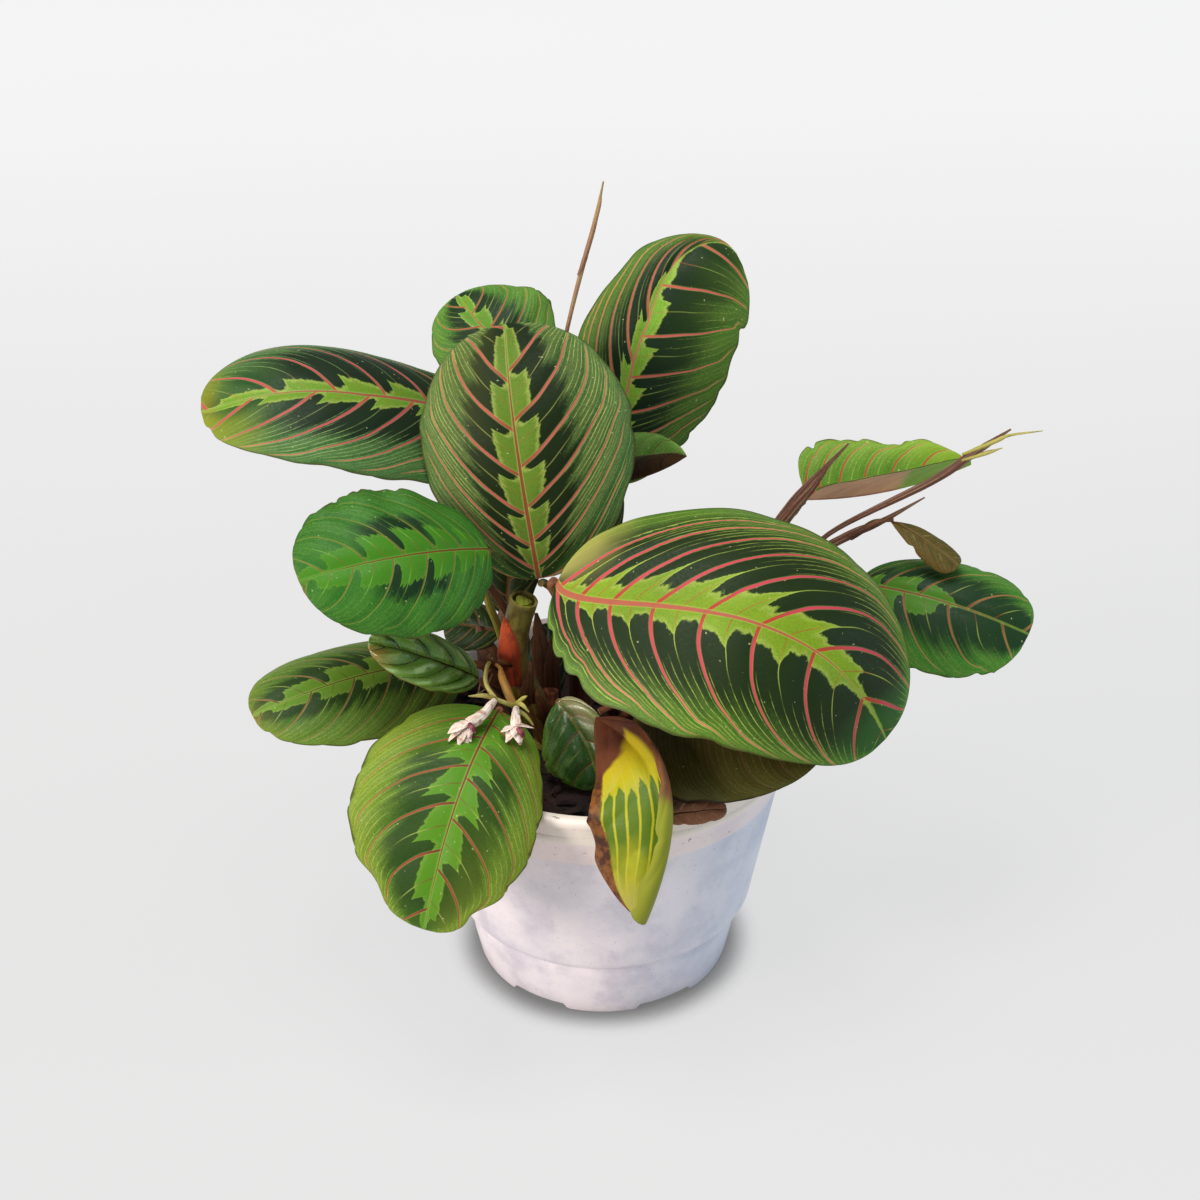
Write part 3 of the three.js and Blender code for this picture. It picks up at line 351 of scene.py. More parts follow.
def leaf_top(name, look, seed):
    """Upper face: light feathered zone, dark blotches, fine lines, coral veins and midrib."""
    net = Net(name + "_top", LEAF_DIM, Specular_IOR_Level=look["gloss"])
    t, s = net.uv("blade")
    p, g = net.uv("vein")
    d, _ = net.uv("span")
    at = net.place()
    x = net.math("ABSOLUTE", s)
    grain = net.noise(at, 1100, 3.0)
    broad = net.noise(at, 45, 2.0)
    p = p + (net.noise(at, 60, 1.0) - 0.5) * 0.12
    q = net.math("FRACT", p)
    off = net.math("ABSOLUTE", q - 0.5)
    to_vein = (0.5 - off) / g
    to_minor = off / g
    count = look["lines"]
    lines = p * count
    from_line = net.math("ABSOLUTE", net.math("FRACT", lines) - 0.5)
    to_line = from_line / (g * count)
    own = net.noise(net.pair(net.math("FLOOR", lines), seed), 0.73, 0.0)
    streak = net.noise(net.pair(p * 3.4, x * 1.4, seed), 1.0, 3.0, 0.6)
    x_torn = x + (grain - 0.5) * 0.04 + (net.noise(at, 330, 2.0) - 0.5) * 0.05
    share = net.smooth(s, -0.001, 0.001, *look["lime"]) if isinstance(look["lime"], tuple) else look["lime"]
    width = net.curve(q, look["teeth"]) * net.curve(t, look["run"]) * share + from_line * 0.03
    lime = net.smooth(x_torn, width - 0.012, width + 0.014, 1.0, 0.0)
    rim = net.smooth(x_torn, width - 0.06, width, 0.0, 1.0) * lime
    ragged = x + (streak - 0.5) * 0.4 + (own - 0.5) * 0.2 + (grain - 0.5) * 0.12
    far = net.smooth(ragged, look["reach"] - look["soft"], look["reach"] + look["soft"] * 1.6, 1.0, 0.0)
    outer = net.mix(net.smooth(x + (broad - 0.5) * 0.5, 0.45, 1.0), look["mid_c"], look["out_c"])
    speck = net.noise(at, 2600, 2.0, 0.7)
    # Painted highlight: the middle of each sector between main veins is lightened, as light falls on the quilted bulge.
    outer = net.mix(net.smooth(off, 0.1, 0.45, 0.12, 0.0), outer, look["line_c"])
    outer = net.mix(net.smooth(speck, 0.5, 0.66) * net.smooth(x, 0.3, 0.6) * 0.22, outer, look["line_c"])
    line = net.smooth(to_line, 0.07, 0.2, 1.0, 0.0) * net.smooth(1.0 / (g * count), 0.45, 1.1)
    line = line * net.smooth(x + (own - 0.5) * 0.7, look["line_from"], look["line_from"] + 0.16)
    line = line * net.smooth(x, 0.92, 1.0, 1.0, 0.0)
    broken = net.noise(net.pair(lines * 0.7, x * 22.0, seed + 3.0), 1.0, 2.0, 0.6)
    line = line * net.smooth(broken, 0.34, 0.58, 0.25, 1.0) * net.smooth(own, 0.3, 0.6, 1.0, 0.55) * look["line"]
    body = net.mix(far * look["blotch"] * net.curve(t, look["dark_run"]), outer, look["dark_c"])
    fleck = net.noise(at, 1800, 2.0, 0.6)
    body = net.mix(net.smooth(fleck, 0.35, 0.65) * 0.25, body, "#0f2a12")
    body = net.mix(line * 0.85, body, look["line_c"])
    pale = net.mix(rim * look["rim"], look["lime_c"], "#c4d080")
    pale = net.mix(net.smooth(broad, 0.35, 0.7) * 0.2 + net.smooth(fleck, 0.4, 0.7) * 0.25, pale, look["mid_c"])
    body = net.mix(lime, body, pale)
    for colour, low, high, side, share in look["tints"]:
        ends = (1.0, 0.0) if low == 0.0 else (0.0, 1.0)
        mask = net.smooth(t + (broad - 0.5) * 0.12, low, high, *ends)
        if side:
            mask = mask * net.smooth(s * float(side), 0.0, 0.5)
        body = net.mix(mask * share, body, colour)
    minor = net.smooth(to_minor, 0.08, 0.24, 1.0, 0.0) * net.smooth(x, 0.3, 0.55, 0.8, 0.0) * look["minor"]
    body = net.mix(minor, body, net.mix(net.smooth(x, 0.1, 0.28), look["root_c"], look["line_c"]))
    dust = net.smooth(net.noise(at, 900, 0.0), 0.83, 0.86) * 0.5
    body = net.mix(dust, body, "#d8dcc0")
    # Painted highlight: a lighter green patch on the middle of each quilted sector, as if light catches the bulge; its
    # strength is set per leaf.
    painted_highlight = net.smooth(net.math("ABSOLUTE", q - 0.45), 0.05, 0.22, 1.0, 0.0) * net.smooth(x, 0.12, 0.4) * look["painted_highlight"]
    body = net.mix(painted_highlight * net.smooth(net.noise(at, 150, 2.0), 0.4, 0.6), body, "#a4cc98")
    fade = net.smooth(x + (broad - 0.5) * 0.2, 0.88, 1.0, 1.0, 0.0)
    half = net.smooth(x, 0.0, 0.9, look["vein_w"], look["vein_w"] * 0.42)
    halo = net.smooth(to_vein, half, half + 0.4, 1.0, 0.0) * fade
    vein = net.smooth(to_vein, half - 0.12, half + 0.1, 1.0, 0.0) * fade
    vein_c = net.mix(net.smooth(x, 0.04, 0.26), look["root_c"], look["vein_c"])
    vein_c = net.mix(net.smooth(x + (streak - 0.5) * 0.6, 0.55, 1.05) * 0.6, vein_c, look["cream_c"])
    body = net.mix(halo * 0.3, body, look["line_c"])
    body = net.mix(vein, body, vein_c)
    ridge = net.smooth(t, 0.0, 1.0, look["rib_w"], 0.12)
    rib = net.smooth(d, ridge - 0.12, ridge + 0.12, 1.0, 0.0)
    body = net.mix(net.smooth(d, ridge, ridge + 0.6, 0.4, 0.0), body, look["line_c"])
    body = net.mix(rib, body, net.mix(net.smooth(t, 0.7, 1.0), look["rib_c"], look["lime_c"]))
    body = net.mix(net.smooth(x, 0.97, 0.995) * 0.85, body, look["edge_c"])
    height = grain * 0.3 + speck * 0.25 + line * 0.4 - vein * 0.5
    rough = net.smooth(grain, 0.3, 0.7, look["rough"] - 0.06, look["rough"] + 0.1)
    return net.finish(body, rough, height, 0.00018, 0.7)


def dying_top(name, look):
    """The yellow leaf: cream lines, fingered dark patches, a burnt curled margin and a brown base."""
    net = Net(name + "_top", LEAF_DIM, Specular_IOR_Level=0.25)
    t, s = net.uv("blade")
    at = net.place()
    grain = net.noise(at, 1100, 3.0)
    broad = net.noise(at, 60, 3.0)
    cells = (s + (broad - 0.5) * 0.08) * 6.0 + 0.35
    within = net.math("ABSOLUTE", net.math("FRACT", cells) - 0.5)
    own = net.noise(net.pair(net.math("FLOOR", cells), 3.1), 0.73, 0.0)
    start = own * 0.4 + within * 0.16 + 0.22
    patch = net.smooth(t + (grain - 0.5) * 0.03, start - 0.01, start + 0.015)
    patch = patch * net.smooth(t + (broad - 0.5) * 0.3 + (own - 0.5) * 0.4, 0.74, 0.92, 1.0, 0.0)
    patch = patch * net.smooth(within, 0.36, 0.43, 1.0, 0.0)
    ground = net.mix(net.smooth(t + (broad - 0.5) * 0.4, 0.15, 0.6), "#d2b81c", "#b2b41c")
    ground = net.mix(net.smooth(t + (broad - 0.5) * 0.1, 0.84, 0.98) * 0.7, ground, "#b6ae6c")
    ground = net.mix(net.smooth(net.noise(at, 400, 3.0), 0.45, 0.7) * 0.4, ground, "#cdbb24")
    body = net.mix(patch, ground, "#5c7a18")
    body = net.mix(net.smooth(within, 0.455, 0.495) * 0.45, body, "#dcd060")
    brown = net.mix(net.smooth(net.noise(at, 260, 4.0, 0.6), 0.4, 0.62), "#8a5426", "#4a2414")
    burnt = net.smooth(s + net.smooth(t, 0.5, 1.0, 0.0, 0.12) + (broad - 0.5) * 0.1 + (grain - 0.5) * 0.05, 0.78, 0.84)
    low = net.smooth(t + (broad - 0.5) * 0.14 - s * 0.1, 0.17, 0.21, 1.0, 0.0)
    body = net.mix(burnt, body, brown)
    body = net.mix(low, body, net.mix(net.smooth(broad, 0.35, 0.65), "#78422e", "#5a2e24"))
    flap = net.smooth(s, -0.2, -0.5) * net.smooth(t + (broad - 0.5) * 0.2, 0.5, 0.62, 1.0, 0.0)
    body = net.mix(flap, body, net.mix(net.smooth(broad, 0.35, 0.65), "#6c3a2a", "#502a24"))
    return net.finish(body, net.smooth(grain, 0.3, 0.7, 0.4, 0.58), grain * 0.4 + broad * 0.3, 0.0003, 0.8)


def leaf_under(name, look):
    """Lower face: duller, with the veins showing through."""
    net = Net(name + "_under", LEAF_DIM, Specular_IOR_Level=0.3)
    p, g = net.uv("vein")
    d, _ = net.uv("span")
    t, s = net.uv("blade")
    at = net.place()
    x = net.math("ABSOLUTE", s)
    q = net.math("FRACT", p)
    to_vein = (0.5 - net.math("ABSOLUTE", q - 0.5)) / g
    lines = net.math("FRACT", p * 5.0)
    to_line = (0.5 - net.math("ABSOLUTE", lines - 0.5)) / (g * 5.0)
    body = net.mix(net.smooth(net.noise(at, 70, 3.0), 0.35, 0.7), look["under_c"], look["under_vein_c"])
    body = net.mix(net.smooth(x, 0.5, 1.0) * 0.3, body, "#5f6a48")
    body = net.mix(net.smooth(to_line, 0.08, 0.32, 0.35, 0.0), body, look["under_vein_c"])
    body = net.mix(net.smooth(to_vein, 0.3, 0.6, 0.75, 0.0), body, look["under_vein_c"])
    body = net.mix(net.smooth(d, 0.7, 1.1, 0.8, 0.0), body, look["rib_c"])
    if "tip_c" in look:
        body = net.mix(net.smooth(t + (net.noise(at, 90, 2.0) - 0.5) * 0.2, 0.5, 0.62), body, look["tip_c"])
    grain = net.noise(at, 1500, 3.0)
    return net.finish(body, 0.6, grain, 0.00015, 0.6)


def blade_surface(leaf, name, look, t, s):
    """Points of the leaf's middle surface for arrays t (rows, 1) and s (1, columns)."""
    base = np.array(leaf["base"], float)
    chord = np.array(leaf["tip"], float) - base
    length = np.linalg.norm(chord)
    along = chord / length
    az, el = (math.radians(a) for a in leaf["face"])
    out = np.array([math.sin(az) * math.cos(el), -math.cos(az) * math.cos(el), math.sin(el)])
    out = out - (out @ along) * along
    out /= np.linalg.norm(out)
    right = np.cross(along, out)
    arch, skew, sway = (leaf.get(k, 0.0) for k in ("arch", "skew", "sway"))
    hump = 4 * t * (1 - t)
    tilt = 1 + skew * (2 * t - 1)
    middle = base + along * length * t[..., None] + out * (arch * hump * tilt)[..., None]
    middle = middle + right * (sway * hump)[..., None]
    rise = arch * ((4 - 8 * t) * tilt + hump * 2 * skew)
    tangent = along * length + out * rise[..., None] + right * (sway * (4 - 8 * t))[..., None]
    tangent = tangent / np.linalg.norm(tangent, axis=-1, keepdims=True)
    normal = out - tangent * (tangent @ out)[..., None]
    normal = normal / np.linalg.norm(normal, axis=-1, keepdims=True)
    side = np.cross(tangent, normal)
    drift = midrib_drift(look, t)
    whole = drift + s * (1 - np.sign(s) * drift)
    right_half = whole > 0
    bias = leaf.get("bias", 0.0)
    warped = t ** (math.log(0.5) / math.log(leaf.get("widest", 0.5)))
    half = leaf["width"] / 2
    reach = half * np.maximum(4 * warped * (1 - warped), 0) ** leaf.get("power", 0.5)
    reach = reach * np.where(right_half, 1 + bias, 1 - bias)
    # quilting between the veins; the margin dips where a vein meets it
    sector = vein_phase(look, t, s) + np.where(s > 0, look["shift"][1], look["shift"][0])
    pillow = np.abs(np.sin(math.pi * sector)) ** 0.6
    uneven = 0.012 * (np.sin(t * 23 + half) + 0.6 * np.sin(t * 41 - half * np.sign(s)))
    reach = reach * (1 + np.abs(s) ** 3 * (uneven - look["scallop"] * (1 - pillow) ** 2))
    for which, where, spread, depth in MARGINS.get(name, ()):
        dent = depth * np.exp(-((t - where) / spread) ** 2)
        reach = reach * np.where((s > 0) == (which > 0), 1 - dent * np.abs(s) ** 3, 1.0)
    curl = leaf["curl"]
    first = np.where(right_half, curl[2], curl[0])
    last = np.where(right_half, curl[3], curl[1])
    bend = np.radians(first + (last - first) * t)
    bend = np.where(np.abs(bend) < 0.001, 0.001, bend)
    y = np.abs(whole) * reach
    radius = half / bend
    flat = radius * np.sin(y / radius)
    drop = radius * (1 - np.cos(y / radius))
    fold = math.radians(leaf.get("fold", 0))
    lateral = flat * math.cos(fold) + drop * math.sin(fold)
    amount, count, phase = leaf.get("wave", (0, 3, 0))
    ripple = amount * whole * whole * np.sin(2 * math.pi * count * t + phase + np.where(right_half, 0, 2))
    up = flat * math.sin(fold) - drop * math.cos(fold) + ripple * np.sqrt(np.sin(math.pi * t))
    sign = np.sign(whole)
    inside = np.clip(np.abs(s) * 6, 0, 1) * np.clip((1 - np.abs(s)) * 5, 0, 1) * np.clip(np.sin(math.pi * t) * 3, 0, 1)
    from_rib = np.abs(whole - drift) * reach
    up = up + look["relief"] * pillow * inside - 0.5 * np.exp(-((from_rib / 1.6) ** 2)) * np.sin(math.pi * t)
    slow = np.sin(t * 9.1 + s * 2.3 + half) * 0.5 + np.sin(t * 17.3 - s * 4.1) * 0.3
    up = up + slow * s * s * half * 0.014
    point = middle + side * (sign * lateral)[..., None] + normal * up[..., None]
    shear = leaf.get("shear", (0, 0))
    slide = (shear[0] + (shear[1] - shear[0]) * t) * sign * y
    return point - tangent * slide[..., None], from_rib


def midrib_drift(look, t):
    """How far the midrib wanders off the middle, as a share of the half width."""
    knots = look["drift"] or ((0, 0), (1, 0))
    return np.interp(t, [k for k, _ in knots], [v for _, v in knots])


def vein_phase(look, t, s):
    """Counts the main veins from base to tip; a vein is where this is whole."""
    lean, hook = (np.where(s > 0, look[key][1], look[key][0]) for key in ("lean", "hook"))
    swept = lean * np.abs(s) + hook * (1 - np.sqrt(1 - 0.94 * s * s))
    run = t - swept * (1 - 0.8 * np.exp(-t / 0.3)) * (1 - np.exp((t - 1) / 0.05))
    start, bent = look["spacing"]
    ahead = (np.maximum(run, 0) + start) ** bent - start ** bent
    behind = look["crowd"] * np.minimum(run, 0)
    return look["veins"] * (ahead + behind)


def write_mesh(name, vertices, faces, materials, indices=None, uvs=None):
    mesh = bpy.data.meshes.new(name)
    mesh.from_pydata([tuple(v) for v in vertices], [], faces)
    for material in materials:
        mesh.materials.append(material)
    if indices is not None:
        mesh.polygons.foreach_set("material_index", indices)
    for layer, values in (uvs or {}).items():
        made = mesh.uv_layers.new(name=layer)
        made.data.foreach_set("uv", np.asarray(values, dtype=np.float32).ravel())
    mesh.polygons.foreach_set("use_smooth", [True] * len(mesh.polygons))
    mesh.update()
    made = bpy.data.objects.new(name, mesh)
    bpy.context.scene.collection.objects.link(made)
    return made


def declare(piece, node):
    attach(piece, "root")
    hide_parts(node)
    return piece


def metric_slope(points, phase):
    """Size of the phase's slope along the surface, per mm."""
    pu, pv = np.gradient(points, axis=0), np.gradient(points, axis=1)
    fu, fv = np.gradient(phase, axis=0), np.gradient(phase, axis=1)
    e, f, h = (pu * pu).sum(-1), (pu * pv).sum(-1), (pv * pv).sum(-1)
    area = np.maximum(e * h - f * f, 1e-9)
    return np.clip(np.sqrt(np.maximum(h * fu * fu - 2 * f * fu * fv + e * fv * fv, 0) / area), 0.02, 3.0)


def build_leaf(name, number):
    leaf = LEAVES[name]
    look = {**GREEN, **LOOKS[name]}
    rows, cols = leaf.get("rows", 100), leaf.get("cols", 52)
    u = np.linspace(0, 1, rows + 1)
    t = (0.35 * u + 0.65 * (1 - np.cos(math.pi * u)) / 2)[:, None]
    v = np.linspace(-1, 1, cols + 1)
    s = (0.6 * v + 0.4 * np.sin(v * math.pi / 2))[None, :]
    t_all, s_all = np.broadcast_arrays(t, s)
    points, y = blade_surface(leaf, name, look, t_all, s_all)
    phase = vein_phase(look, t_all, s_all)
    centre = cols // 2
    slope = np.empty_like(phase)
    slope[:, :centre + 1] = metric_slope(points[:, :centre + 1], phase[:, :centre + 1])
    slope[:, centre:] = metric_slope(points[:, centre:], phase[:, centre:])
    slope[0], slope[-1] = slope[1], slope[-2]
    du, dv = np.gradient(points, axis=0), np.gradient(points, axis=1)
    normal = np.cross(dv, du)
    normal /= np.maximum(np.linalg.norm(normal, axis=-1, keepdims=True), 1e-9)
    normal[0], normal[-1] = normal[1, centre], normal[-2, centre]
    thick = (0.36 - 0.2 * np.abs(s_all) ** 6)[..., None]
    index = np.full((2, rows + 1, cols + 1), -1)
    vertices, table = [], []
    for sheet, sign in enumerate((1, -1)):
        moved = points + normal * thick * sign
        for i in range(rows + 1):
            if i in (0, rows):
                index[sheet, i, :] = len(vertices)
                vertices.append(moved[i, centre] * MM)
                table.append((t_all[i, 0], 0.0, phase[i, centre], slope[i, centre], 0.0))
                continue
            index[sheet, i, :] = np.arange(len(vertices), len(vertices) + cols + 1)
            vertices.extend(moved[i] * MM)
            table.extend(zip(t_all[i], s_all[i], phase[i], slope[i], y[i]))
    faces, mats, sides = [], [], []

    def add(corners, material, side):
        kept = [c for k, c in enumerate(corners) if c != corners[k - 1]]
        if len(kept) > 2:
            faces.append(tuple(int(c) for c in kept))
            mats.append(material)
            sides.append(side)

    top, under = index
    for i in range(rows):
        for j in range(cols):
            side = 1 if j >= centre else 0
            add((top[i, j], top[i, j + 1], top[i + 1, j + 1], top[i + 1, j]), 0, side)
            add((under[i, j], under[i + 1, j], under[i + 1, j + 1], under[i, j + 1]), 1, side)
        add((under[i, 0], top[i, 0], top[i + 1, 0], under[i + 1, 0]), 0, 0)
        add((top[i, cols], under[i, cols], under[i + 1, cols], top[i + 1, cols]), 0, 1)
    table = np.array(table)
    loops = np.concatenate([np.array(f) for f in faces])
    loop_side = np.repeat(sides, [len(f) for f in faces])
    shift = np.where(loop_side == 1, look["shift"][1], look["shift"][0])
    rows_of = table[loops]
    uvs = {
        "blade": rows_of[:, 0:2],
        "vein": np.stack([rows_of[:, 2] + shift, rows_of[:, 3]], axis=1),
        "span": np.stack([rows_of[:, 4], rows_of[:, 0]], axis=1),
    }
    top_look = dying_top(name, look) if name == "leaf_yellow" else leaf_top(name, look, float(number))
    materials = [top_look, leaf_under(name, look)]
    piece = write_mesh(name + "_blade", vertices, faces, materials, mats, uvs)
    piece.data.set_sharp_from_angle(angle=math.radians(60))
    declare(piece, name)


# Shoots: stalks as x, y, z, radius along the way, with the look of each.
SHOOTS = {
    "stalk_main": ((-19, -3, 4.8), [
        ("sheath", [(-19, -3, 86.8, 4.6), (-22.5, -4, 100, 4.2), (-27, -5.5, 113, 3.9), (-29, -6.5, 123, 3.9),
                    (-28.5, -7, 133, 4.3), (-26, -8, 144, 4.8)]),
        ("red", [(-29.8, -8, 112, 3.2), (-30.8, -8.8, 119, 3.9), (-31.2, -9.4, 125.6, 3.9), (-31.2, -10.0, 130.5, 3.1),
                 (-31.9, -10.4, 134.6, 1.9), (-32.4, -10.6, 138.7, 0.4)]),
        ("brown", [(-30, -5, 120, 1.8), (-31, -3, 134, 1.5), (-38, -6, 150, 1.4), (-38, -11, 160, 1.3),
                   (-37, -13.6, 164.9, 1.2)]),
        ("stump", [(-18.5, -3, 90, 2.8), (-18, -1.5, 97, 2.8), (-18, -0.5, 104, 2.8)]),
        ("brown", [(-19, -3, 90, 2), (-20, 2.5, 91, 1.2), (-20, 4.6, 93.2, 0.9)]),
    ]),
    "stalk_back": ((-8, 16, 4), [
        ("brown", [(-8, 16, 86.8, 3.9), (-9, 20, 110, 3.2), (-9, 24, 130, 2.6)]),
        ("olive", [(-8, 17, 96, 1.8), (-11, 9, 120, 1.4), (-16, -1, 142, 1.3), (-19, -6, 149, 1.3),
                   (-20.4, -8.4, 150.4, 1.2)]),
        ("olive", [(-9, 20, 110, 1.6), (-2, 28, 135, 1.4), (3, 38, 151, 1.3), (2.9, 38, 162, 1.2)]),
        ("olive", [(-9, 24, 126, 1.5), (-14, 44, 152, 1.4), (-19, 58, 174, 1.3), (-22.4, 64.4, 187.5, 1.2)]),
        ("dry", [(-9, 24, 126, 1.5), (-15, 32, 160, 1.2), (-17, 37, 190, 0.9), (-12.5, 40, 216, 0.7),
                 (-7, 45, 238, 0.8), (-3, 47.5, 252, 0.8), (0, 50, 266, 0.25)]),
        ("olive", [(-9, 21, 114, 1.4), (-5, 17, 138, 1.2), (-3.5, 19, 156, 1.1), (-2.4, 24.4, 169.2, 1)]),
        ("olive", [(-9, 21, 116, 1.4), (-8, 23, 130, 1.2), (-6.3, 23.9, 137.2, 1.1)]),
        ("olive", [(-9, 22, 118, 1.6), (-14, 36, 140, 1.4), (-20, 44, 148, 1.3), (-21.8, 47, 148, 1.2)]),
    ]),
    "stalk_right": ((8, 10, 4), [
        ("purple", [(8, 10, 87.4, 3.5), (12.6, 12, 94, 3.3), (22, 16, 104, 3), (44, 24, 130, 2.4),
                    (54, 29, 143, 1.9), (62, 32, 154, 2.3), (68, 30, 165, 1.6), (81, 24, 185, 0.3)]),
        ("purple", [(22, 16, 104, 2), (48, 34, 134, 1.5), (62, 40, 149, 1.4), (69.2, 41.8, 154.6, 1.2)]),
        ("purple", [(22, 16, 104, 2), (50, 26, 124, 1.4), (68, 30, 138, 0.9), (80, 32, 149, 0.9),
                    (109, 22, 172, 1.4), (122, 17.6, 185, 1.3), (132, 14, 195, 0.3)]),
        ("purple", [(50, 26, 124, 2), (70, 29, 139, 1.6), (85, 30, 148, 1.6), (94, 29, 153, 1.1),
                    (108, 26, 164, 0.25)]),
        ("olive", [(88, 30, 149.5, 1), (92, 30, 152.6, 0.8), (97.2, 30.2, 153.1, 0.6)]),
        ("olive", [(22, 16, 104, 2), (50, 22, 118, 1.5), (76, 26, 129, 1.4), (86.8, 27.2, 130.2, 1.2)]),
        ("olive", [(10, 12, 94, 2), (12, 30, 125, 1.5), (12, 38, 137, 1.3), (13.2, 43.2, 138.2, 1.2)]),
    ]),
    "stalk_front_right": ((6, -6, 3.4), [
        ("brown", [(6, -6, 86.8, 3.3), (2, -10, 108, 2), (-8, -17, 140, 1.7), (-16, -20.5, 155, 1.6),
                   (-15.6, -21.8, 159.1, 1.4)]),
        ("brown", [(6, -6, 90, 2.4), (9, -12, 102, 1.8), (12.4, -17.4, 109.4, 1.4)]),
        ("brown", [(6, -6, 90, 2), (13, -26, 93, 1.2), (18, -48, 97.4, 0.9), (18, -60.8, 98.5, 0.8)]),
    ]),
    "stalk_left": ((-28, 10, 3.4), [
        ("yellow", [(-28, 10, 86.8, 3.3), (-31, 8, 106, 2.4), (-35, 5, 125, 1.5), (-39, 6, 138, 1.4),
                    (-42, 18, 156, 1.4), (-39, 38, 174, 1.4), (-34.8, 47.4, 182.9, 1.3)]),
        ("brown", [(-30, 9, 98, 1.8), (-40, 5, 110, 1.4), (-49.1, 1.6, 113.7, 1.2)]),
        ("brown", [(-29, 10, 100, 1.6), (-32, 15, 112, 1.2), (-33.1, 19.5, 121.2, 1)]),
        ("brown", [(-29, 10, 98, 1.6), (-32, 15, 108, 1.1), (-34.4, 17.6, 115.2, 0.9)]),
    ]),
    "stalk_front_left": ((-29, -16, 2.8), [
        ("brown", [(-29, -16, 86.8, 2.7), (-31, -22, 102, 1.8), (-33.5, -28, 113, 1.5), (-33.9, -31, 115.8, 1.3)]),
        ("brown", [(-29, -16, 94, 1.6), (-34, -18, 110, 1.2), (-40.2, -19.8, 120.4, 1)]),
    ]),
    "stalk_small": ((-4, -16, 2.6), [
        ("olive", [(-4, -16, 86.8, 2.5), (-8, -17, 100, 1.6), (-13, -18, 109, 1.3), (-15.1, -18.5, 111.4, 1.1)]),
        ("brown", [(-4, -16, 90, 2), (5, -17, 102, 1.5), (9, -24, 112.5, 1.3), (4, -30, 117.6, 1.3),
                   (-1.4, -32.8, 116.4, 1.2)]),
    ]),
}
STALK_COLOURS = {
    "sheath": ("#4a2416", "#8c8440", "#6a6a2c"), "red": ("#6a2a1c", "#f0683c", "#c04a2c"),
    "brown": ("#4a2a1c", "#8a5a40", "#5f3a24"), "stump": ("#3a2018", "#b46a50", "#6a3a28"),
    "olive": ("#5a4a26", "#7c7a34", "#6a5530"), "dry": ("#a07464", "#b49a70", "#5c4030"),
    "purple": ("#6c4234", "#5c3a36", "#b09c80"), "yellow": ("#7a7426", "#a5a236", "#6f5a24"),
    "pale": ("#b8b060", "#d0cc8c", "#a09a50"), "bract": ("#a07838", "#b88e44", "#7a5426"),
    "core": ("#3c4412", "#8c9a2c", "#5f6a1c"), "bud": ("#b0b060", "#c8c478", "#94923c"),
    "paper": ("#4a2a1a", "#6e4a30", "#2c1a12"), "bore": ("#3a2414", "#6a5024", "#2c1c10"),
}
STALK_LOOKS = {}
FLATNESS = {"purple": 0.55, "red": 0.7, "paper": 0.2, "blade": 0.12, "petal": 0.22}

